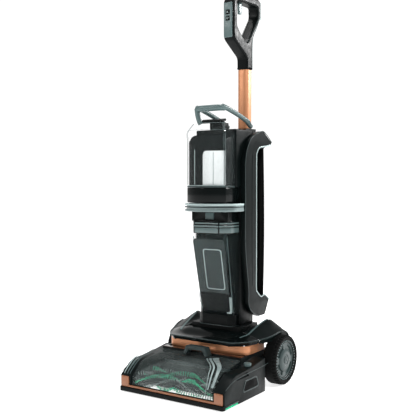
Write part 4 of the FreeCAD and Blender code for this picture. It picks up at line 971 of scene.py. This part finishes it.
def frame_edge_highlights(side, name):
    """Painted highlights: pale strips along the side frame's edges, where the light catches them."""
    x = side * 84.6
    h, l = SHOULDER_TOP, DOCK_TOP
    routes = {
        "outer": [(404, h - 31), (380, h - 14), (357, h - 2), (339, h - 2), (304, h - 13), (276, h - 32),
                  (252, h - 84),
                  (251, h - 200), (251, l + 200), (269, l + 76), (270, l + 31), (288, l + 6), (327, l - 12)],
        "inner": [(402, h - 38), (357, h - 45), (331, h - 49), (317, h - 63), (313, h - 84), (313, h - 220),
                  (313, l + 150), (313, l + 72), (319, l + 60), (331, l + 49), (345, l + 42), (363, l + 46),
                  (390, l + 29)],
    }
    for label, material, width in (("inner", PALE_TRIM_AND_HIGHLIGHT, 1.7), ("outer", SLATE, 1.3)):
        path = smooth_path([at(x, y, z) for y, z in routes[label]], 6)
        ribbon(f"frame_{label}_{name}", path, width, 0.8, material, "upright",
               normals=[Vector((side, 0, 0))] * len(path))
    seam = smooth_path([at(x, y, z) for y, z in ((292, h - 60), (289, h - 130), (289, h - 320),
                                                 (292, l + 80))], 8)
    ribbon(f"frame_seam_{name}", seam, 0.6, 0.35, BLACK, "upright",
           normals=[Vector((side, 0, 0))] * len(seam))


def make_upright():
    soften("neck", BLACK, width=2, segments=3)
    soften("body_housing", BLACK, width=2, segments=3)
    soften("shoulder_shell", PANEL, width=9, segments=5)
    soften("mid_band", GLOSS, width=2.2, segments=3)
    soften("back_cover", BLACK, width=4, segments=4)
    soften("exhaust_grille", SLATE, width=0.6)
    soften("cover_screws", STEEL, width=0.5)
    soften("suction_motor", STEEL, width=1)
    soften("water_pump", SLATE, width=1.5)
    soften("impeller", SLATE, width=0.4)
    soften("tank_latch", BLACK, width=2, segments=3)
    for side, name in ((1, "right"), (-1, "left")):
        make_side_frame(side, name)
        frame_edge_highlights(side, name)
    soften("pole", COPPER_POLE, width=3.5, segments=5)


def make_loop():
    """A D-shaped hand loop over a collar, all one thickness with soft edges."""
    b, t = LOOP_FOOT, LOOP_TOP
    outer = [(372, b, 2), (404, b, 3), (406, b + 92, 20), (454, b + 170, 26), (454, t - 8, 8), (440, t, 10),
             (310, t - 4, 24), (294, t - 36, 16), (294, b + 80, 26), (371, b + 34, 16)]
    hole = [(316, t - 29, 10), (438, t - 24, 12), (439, b + 166, 24), (385, b + 92, 14), (372, b + 79, 8),
            (335, b + 101, 10), (316, b + 121, 12)]
    half = span("handle_loop", 0)[1]
    mesh = prism_mesh("hand_loop", "X", -half, half, outer, [hole], 6.5, 7)
    finish_piece("hand_loop", mesh, BLACK, "upright", ["handle_loop"])


def make_handle():
    make_loop()
    soften("handle_panel", GREYGREEN, width=2, segments=4)
    soften("trigger", GREYGREEN, width=1.6, segments=3)
    for node, shape in (("button_upper", "drop"), ("button_lower", "ring")):
        soften(node, BLACK, width=1.6, segments=4)
        body = NODES[node]["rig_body"]
        y = span(node, 1)[0]
        z = sum(span(node, 2)) / 2
        if shape == "ring":
            outer, inner = circle_outline(0, z, 3.2, 28), circle_outline(0, z, 2.3, 28)
        else:
            outer, inner = [(-3, z - 2.6, 0.4), (3, z - 2.6, 0.4), (0, z + 3.2, 0.4)], circle_outline(0,
                    z - 1, 0.9, 16)
        plate(f"{node}_mark", "Y", y - 0.25, y + 0.3, outer, PALE_TRIM_AND_HIGHLIGHT, body, holes=[inner],
              bevel=0.1)
    foot, top = LOOP_FOOT, LOOP_TOP
    rim = [(404, foot + 2), (406, foot + 92), (430, foot + 131), (453, foot + 170), (453.2, top - 60),
           (453, top - 9)]
    # Painted highlights: pale strips along the hand loop's outer and inner edges, where the light catches
    # them.
    for side, name in ((1, "right"), (-1, "left")):
        path = smooth_path([at(side * 18, y - 2, z) for y, z in rim], 8)
        ribbon(f"loop_rim_highlight_{name}", path, 0.9, 0.8, PALE_TRIM_AND_HIGHLIGHT, "upright",
               normals=[Vector((side * 0.7, 0.7, 0))] * len(path))
        inner = [(438, top - 30), (438.5, foot + 166), (412, foot + 128), (385, foot + 92), (372, foot + 80)]
        path = smooth_path([at(side * 18, y + 1.5, z) for y, z in inner], 8)
        ribbon(f"loop_inner_rim_highlight_{name}", path, 0.8, 0.6, SLATE, "upright",
               normals=[Vector((side * 0.8, -0.6, 0))] * len(path))


# ---- tanks ---------------------------------------------------------------------------------------

def clean_front(x, inset=0.0):
    """The bowed front of the clean tank in plan."""
    low = span("clean_tank_shell", 1)[0]
    radius = 107 - inset
    return low + inset + radius - math.sqrt(max(radius ** 2 - x ** 2, 0))


def curved_panel(name, outline_rows, inset, thick, material, body, nodes=()):
    """A panel that follows the tank's bow: rows of (z, x_low, x_high)."""
    front, back = [], []
    columns = 14
    for z, x_low, x_high in outline_rows:
        for i in range(columns + 1):
            x = x_low + (x_high - x_low) * i / columns
            front.append(at(x, clean_front(x, inset), z))
            back.append(at(x, clean_front(x, inset) + thick, z))
    width = columns + 1
    count = len(front)
    faces = []
    for r in range(len(outline_rows) - 1):
        for i in range(columns):
            a = r * width + i
            faces.append((a, a + 1, a + width + 1, a + width))
            faces.append((count + a, count + a + width, count + a + width + 1, count + a + 1))
        for a in (r * width, r * width + columns):
            faces.append((a, a + width, count + a + width, count + a))
    for base in (0, (len(outline_rows) - 1) * width):
        for i in range(columns):
            faces.append((base + i, count + base + i, count + base + i + 1, base + i + 1))
    mesh = fix_normals(mesh_from(name, front + back, faces))
    return finish_piece(name, mesh, material, body, nodes)


def make_clean_tank():
    soften("clean_tank_shell", CLEAR, width=2.5, segments=4)
    soften("clean_tank_base", SLATE, width=1.2)
    soften("clean_tank_cap", BLACK, width=1)
    foot = CLEAN_FOOT + 6
    sill = foot + 96
    arch = [(sill + 1, -59, 61), (sill + 22, -57, 61), (sill + 32, -52, 61), (sill + 39, -44, 61),
            (sill + 43, -32, 61), (sill + 44.5, -10, 61)]
    curved_panel("liner_top", arch, 4.6, 2.0, BLACK, "clean_tank", ["clean_tank_liner"])
    left = [(foot, -59, -1), (foot + 84, -59, -1), (foot + 92, -59, 2), (sill + 1, -59, 8)]
    curved_panel("liner_left", left, 4.6, 2.0, BLACK, "clean_tank")
    window = [(foot + 1, -1, 61), (foot + 84, -1, 61), (foot + 92, 2, 61), (sill, 7, 61)]
    curved_panel("tank_window", window, 6.2, 1.0, MILK, "clean_tank")
    curved_panel("tank_bar", [(foot + 2, -31, -28.5), (foot + 100, -31, -28.5)], 4.2, 0.6, PALE_TRIM_AND_HIGHLIGHT, "clean_tank")
    curved_panel("tank_scale_line", [(foot + 2, 31, 31.8), (sill - 4, 31, 31.8)], 5.4, 0.3, GREYGREEN,
                 "clean_tank")
    for index, (z, material) in enumerate(((foot - 1.5, PALE_TRIM_AND_HIGHLIGHT), (foot - 5, BLACK))):
        curved_panel(f"tank_line_{index}", [(z, -63, 63), (z + 1.6, -63, 63)], 0.5, 1.2, material,
                     "clean_tank")
    for side, name in ((1, "right"), (-1, "left")):
        outline = [(clean_front(61) + 6, foot), (215, foot), (215, sill + 42, 12),
                   (clean_front(61) + 6, sill + 30, 8)]
        low, high = sorted((side * 58.5, side * 60.5))
        plate(f"liner_side_{name}", "X", low, high, outline, BLACK, "clean_tank", bevel=0.4)
    plate("liner_back", "Y", 214, 216, [(-60, foot), (60, foot), (60, sill + 42, 8), (-60, sill + 42, 8)],
          BLACK,
          "clean_tank", bevel=0.4)
    make_tank_edge_highlights()
    make_tank_handle()


def make_tank_edge_highlights():
    """Painted highlights along the clear shell's bright edges: the bevel line over the bow and the corners
    below it.
    """
    ridge = CLEAN_TOP - 22
    columns = [-62, -58, -50, -36, -18, 0, 18, 36, 50, 58, 62]
    for index, (z, inset, width) in enumerate(((ridge, 0.2, 1.0), (CLEAN_TOP - 1.6, 17, 1.3))):
        path = smooth_path([at(x * (1 if index == 0 else 0.78), clean_front(x, inset), z) for x in columns],
                           4)
        ribbon(f"tank_bevel_highlight_{index}", path, width, 0.8, CLEAR_EDGE_HIGHLIGHT, "clean_tank")
    for side, name in ((1, "right"), (-1, "left")):
        for index, (x, inset) in enumerate(((64, 0.3), (60, 1.2))):
            y = clean_front(x, inset)
            path = smooth_path([at(side * x, y, z) for z in (CLEAN_FOOT + 8, CLEAN_FOOT + 60, ridge - 30,
                                                             ridge - 4)]
                               + [at(side * x * 0.8, y + 12, CLEAN_TOP - 2)], 5)
            ribbon(f"tank_corner_highlight_{name}_{index}", path, 0.9, 0.8, CLEAR_EDGE_HIGHLIGHT, "clean_tank",
                   normals=[Vector((side, 0, 0))] * len(path))


def make_tank_handle():
    """A bar grip on short posts with a strap down to each side of the pole."""
    low_y = span("tank_handle", 1)[0]
    rear_y = span("tank_handle", 1)[1]
    foot_z, top = span("tank_handle", 2)
    grip_y, grip_z = low_y + 9, top - 8
    for index, (dy, dz, radius, material) in enumerate(
            ((0.5, -1, 9, GREYGREEN), (9, 0, 8, GREYGREEN), (4.5, 6.6, 1.2, SLATE))):
        path = [at(x, grip_y + dy + bend, grip_z + dz) for x, bend in
                ((-43, 9), (-42, 2), (-36, -0.5), (-20, -1.5), (20, -1.5), (36, -0.5), (42, 2), (43, 9))]
        replaced = ["tank_handle"] if index == 0 else []
        tube_piece(f"tank_grip_{index}", path, radius, material, "clean_tank", replaced)
    for side, name in ((1, "right"), (-1, "left")):
        strap = [at(side * x, y, z) for x, y, z in (
            (43, grip_y + 2, grip_z + 2.5), (43.5, grip_y + 24, grip_z - 1), (44, grip_y + 62, grip_z - 9.5),
            (44, grip_y + 104, grip_z - 20), (43, grip_y + 136, grip_z - 30), (42, rear_y - 22, foot_z + 9),
            (40, rear_y - 6, foot_z + 4))]
        tube_piece(f"tank_strap_{name}", strap, 7, GREYGREEN, "clean_tank")
        foot = smooth_path(strap[3:], 6)
        ribbon(f"tank_strap_foot_{name}", foot, 9, 5, GREYGREEN, "clean_tank",
               taper=lambda t: 0.6 + 0.4 * math.sin(math.pi * t))
        post = [at(side * x, y, z) for x, y, z in ((42, grip_y, grip_z), (41, grip_y + 2, grip_z - 18),
                                                  (38, grip_y + 6, grip_z - 36),
                                                  (36, grip_y + 10, CLEAN_TOP - 1))]
        if side == -1:
            tube_piece(f"tank_post_{name}", post, 7.5, GREYGREEN, "clean_tank")
        else:
            tube_piece(f"tank_post_{name}", post[2:], 6, BLACK, "clean_tank")
    for index, (dy, dz, radius) in enumerate(((10, 5, 5), (20, 9, 3.5))):
        path = [at(x, grip_y + dy + 6, CLEAN_TOP + dz) for x in (-38, -20, 20, 38)]
        tube_piece(f"tank_linkage_{index}", path, radius, BLACK, "clean_tank")
    for name, x in (("left", -12), ("right", 14)):
        path = [at(x, grip_y + 14, CLEAN_TOP + 6), at(x + 2, grip_y + 19, CLEAN_TOP + 9),
                at(x + 3, grip_y + 24, CLEAN_TOP + 10)]
        tube_piece(f"tank_link_arm_{name}", path, 2.2, SLATE, "clean_tank")


def nose_y(z):
    """The front face of the dirty tank, which leans forward towards its top."""
    t = (z - DIRTY_FOOT) / (DIRTY_TOP - DIRTY_FOOT)
    return 225 + (177 - 225) * t


def lean(mesh, base_y):
    """Slides a panel built at base_y onto the leaning front."""
    for vertex in mesh.vertices:
        z = vertex.co.z / MM
        vertex.co.y += (nose_y(z) - base_y) * MM
    return mesh


def make_dirty_tank():
    paint("dirty_tank_shell", SMOKE)
    soften("dirty_tank_lid", GLOSS, width=2.5, segments=3)
    soften("separator", SLATE, width=1.5)
    soften("tank_float", PALE_TRIM_AND_HIGHLIGHT, width=1.2)
    soften("lid_button", GREYGREEN, width=1.6, segments=3)
    soften("bail_handle", BAIL, width=4, segments=5)
    half = span("bail_handle", 0)[1]
    low_z, high_z = span("bail_handle", 2)
    front_y, end_y = span("bail_handle", 1)
    side_y = end_y - 42
    bow = [(-half, end_y), (-half, side_y + 14)]
    bow += [(half * math.sin(a), side_y - (side_y - front_y) * math.cos(a))
            for a in (math.radians(v) for v in range(-84, 85, 12))]
    bow += [(half, side_y + 14), (half, end_y)]
    # Painted light and shade on the bail: the pale top line is a painted highlight, the dark middle line is
    # painted shade in the groove of its double rim, and the low line is in the bail's own grey.
    for index, (z, width, material) in enumerate((
            (high_z - 3.2, 2.4, PALE_TRIM_AND_HIGHLIGHT), (high_z - 10.5, 1.1, BLACK_MATT), (low_z + 3.2, 2.4, BAIL))):
        path = smooth_path([at(x, y, z) for x, y in bow], 4)
        outward = []
        for step, point in enumerate(path):
            before, after = path[max(step - 1, 0)], path[min(step + 1, len(path) - 1)]
            line = (after - before).normalized()
            outward.append(Vector((line.y, -line.x, 0)))
        ribbon(f"bail_rim_and_painted_light_{index}", path, width, 0.5, material, "bail", normals=outward)
    outer = [(-21, 268, 9), (41, 268, 9), (41, 385, 9), (-21, 385, 9)]
    inner = [(-18.5, 270.5, 7), (38.5, 270.5, 7), (38.5, 382.5, 7), (-18.5, 382.5, 7)]
    mesh = lean(prism_mesh("intake_frame", "Y", 200, 202, outer, [inner], 0.5), 196.5)
    finish_piece("intake_frame", mesh, PALE_TRIM_AND_HIGHLIGHT, "dirty_tank")
    mesh = lean(prism_mesh("intake_panel", "Y", 200, 201.5, inner, (), 0.3), 195.5)
    finish_piece("intake_panel", mesh, SLATE, "dirty_tank")
    for index, (low_z, high_z, half, material) in enumerate((
            (DIRTY_FOOT + 8, DIRTY_FOOT + 62, 46, BLACK),
            (DIRTY_FOOT + 62, DIRTY_TOP - 16, 50, SMOKE_PANEL))):
        shape = [(-half, low_z, 6), (half, low_z, 6), (half + 3, high_z, 10), (-half - 3, high_z, 10)]
        mesh = lean(prism_mesh(f"tank_inner_{index}", "Y", 202, 203, shape, (), 0.3), 196)
        finish_piece(f"tank_inner_{index}", mesh, material, "dirty_tank")
    # Painted highlights: pale strips up the dirty tank's front corners, where its rounded edges catch the
    # light.
    for index, (x, reach, width, material) in enumerate((
            (-58, 0.97, 1.6, BAIL), (-52, 0.9, 0.7, SLATE), (57, 0.97, 1.1, GREYGREEN),
            (50, 0.8, 0.6, SLATE))):
        path = []
        for step in range(12):
            z = DIRTY_FOOT + 8 + (DIRTY_TOP - DIRTY_FOOT - 12) * reach * step / 11
            share = (z - DIRTY_FOOT) / (DIRTY_TOP - DIRTY_FOOT)
            corner = 60 + 5 * share
            depth = (abs(x) - 42) / (corner - 42) if abs(x) > 42 else 0
            path.append(at(x * corner / 65, nose_y(z) + 26 * depth * share + 14 * depth * (1 - share) + 1, z))
        ribbon(f"smoke_tank_highlight_{index}", path, width, 0.7, material, "dirty_tank",
               normals=[Vector((0, -1, 0))] * len(path))
    for index, (z, grow, rise) in enumerate(((DIRTY_TOP + 9, 0.6, 7), (DIRTY_TOP + 21, 0.9, 2.4),
                                             (DIRTY_TOP + 29, 0.6, 2))):
        plan = [(65, 249, 3), (-65, 249, 3), (-65, 205, 8), (-42, 177, 16), (42, 177, 16), (65, 205, 8)]
        outer = [(x + math.copysign(grow, x), y - grow if y < 240 else y, r) for x, y, r in plan]
        inner = [(x - math.copysign(3, x), y + 3 if y < 240 else y - 3, r) for x, y, r in plan]
        plate(f"lid_rim_{index}", "Z", z - rise, z + rise, outer, SMOKE_BAND, "dirty_tank",
              holes=[inner], bevel=0.6)


# ---- room ----------------------------------------------------------------------------------------

def make_stage():
    floor_material, tree, shader, coords = new_material("floor")
    tone = noise(tree, coords, 3, 3)
    tree.links.new(ramp(tree, tone, [(0.3, (0.95, 0.95, 0.95)), (0.7, (0.97, 0.97, 0.97))]),
                   shader.inputs["Base Color"])
    shader.inputs["Roughness"].default_value = 0.7
    shader.inputs["Specular IOR Level"].default_value = 0.1
    shader.inputs["Emission Color"].default_value = (1, 1, 1, 1)
    shader.inputs["Emission Strength"].default_value = 0.75
    mesh = mesh_from("floor", [(-30, -30, 0), (30, -30, 0), (30, 30, 0), (-30, 30, 0)], [(0, 1, 2, 3)])
    mesh.materials.append(floor_material)
    floor = bpy.data.objects.new("floor", mesh)
    bpy.context.scene.collection.objects.link(floor)
    floor.location.z = -0.0005
    make_sky()
    for name, place, aim, size, power in (
            ("key", (1.9, -0.6, 2.2), (0, 0, 0.6), 0.35, 26), ("fill", (-1.6, -2.2, 1.9), (0, 0, 0.5), 0.5,
                                                               16),
            ("rim", (1.3, 1.9, 1.6), (0, 0, 0.7), 0.4, 45), ("top", (-0.5, 0.3, 2.6), (0, 0, 0.5), 0.4, 26)):
        light = bpy.data.lights.new(name, "AREA")
        light.size = size
        light.energy = power
        lamp = bpy.data.objects.new(name, light)
        bpy.context.scene.collection.objects.link(lamp)
        lamp.location = place
        lamp.rotation_euler = (Vector(aim) - Vector(place)).to_track_quat("-Z", "Y").to_euler()


def make_sky():
    """A dim studio with a bright white wall behind the object."""
    world = bpy.data.worlds.new("studio")
    world.use_nodes = True
    tree = world.node_tree
    coords = tree.nodes.new("ShaderNodeTexCoord")
    facing = tree.nodes.new("ShaderNodeVectorMath")
    facing.operation = "DOT_PRODUCT"
    tree.links.new(coords.outputs["Generated"], facing.inputs[0])
    facing.inputs[1].default_value = (-math.sin(HEADING) * 0.5, math.cos(HEADING) * 0.5, 0)
    shift = tree.nodes.new("ShaderNodeMapRange")
    shift.inputs["From Min"].default_value = -0.5
    shift.inputs["From Max"].default_value = 0.5
    tree.links.new(facing.outputs["Value"], shift.inputs["Value"])
    glow = ramp(tree, shift.outputs["Result"], [
        (0.0, (0.22, 0.22, 0.22)), (0.3, (0.28, 0.28, 0.28)), (0.86, (0.45, 0.45, 0.45)),
        (0.93, (1.1, 1.1, 1.1))])
    tree.links.new(glow, tree.nodes["Background"].inputs["Color"])
    bpy.context.scene.world = world
    bpy.context.scene.view_settings.view_transform = "Standard"


make_camera()
make_cord()
make_brush_roll("brush_roll_front", "brush_front", 0.2)
make_brush_roll("brush_roll_rear", "brush_rear", 1.0)
make_edge_brushes()
make_wheel(1, "right", "wheel_right")
make_wheel(-1, "left", "wheel_left")
make_hub_notches(1, "right", "wheel_right")
make_hub_notches(-1, "left", "wheel_left")
make_window()
make_hood()
make_base()
make_upright()
make_handle()
make_clean_tank()
make_dirty_tank()
make_stage()
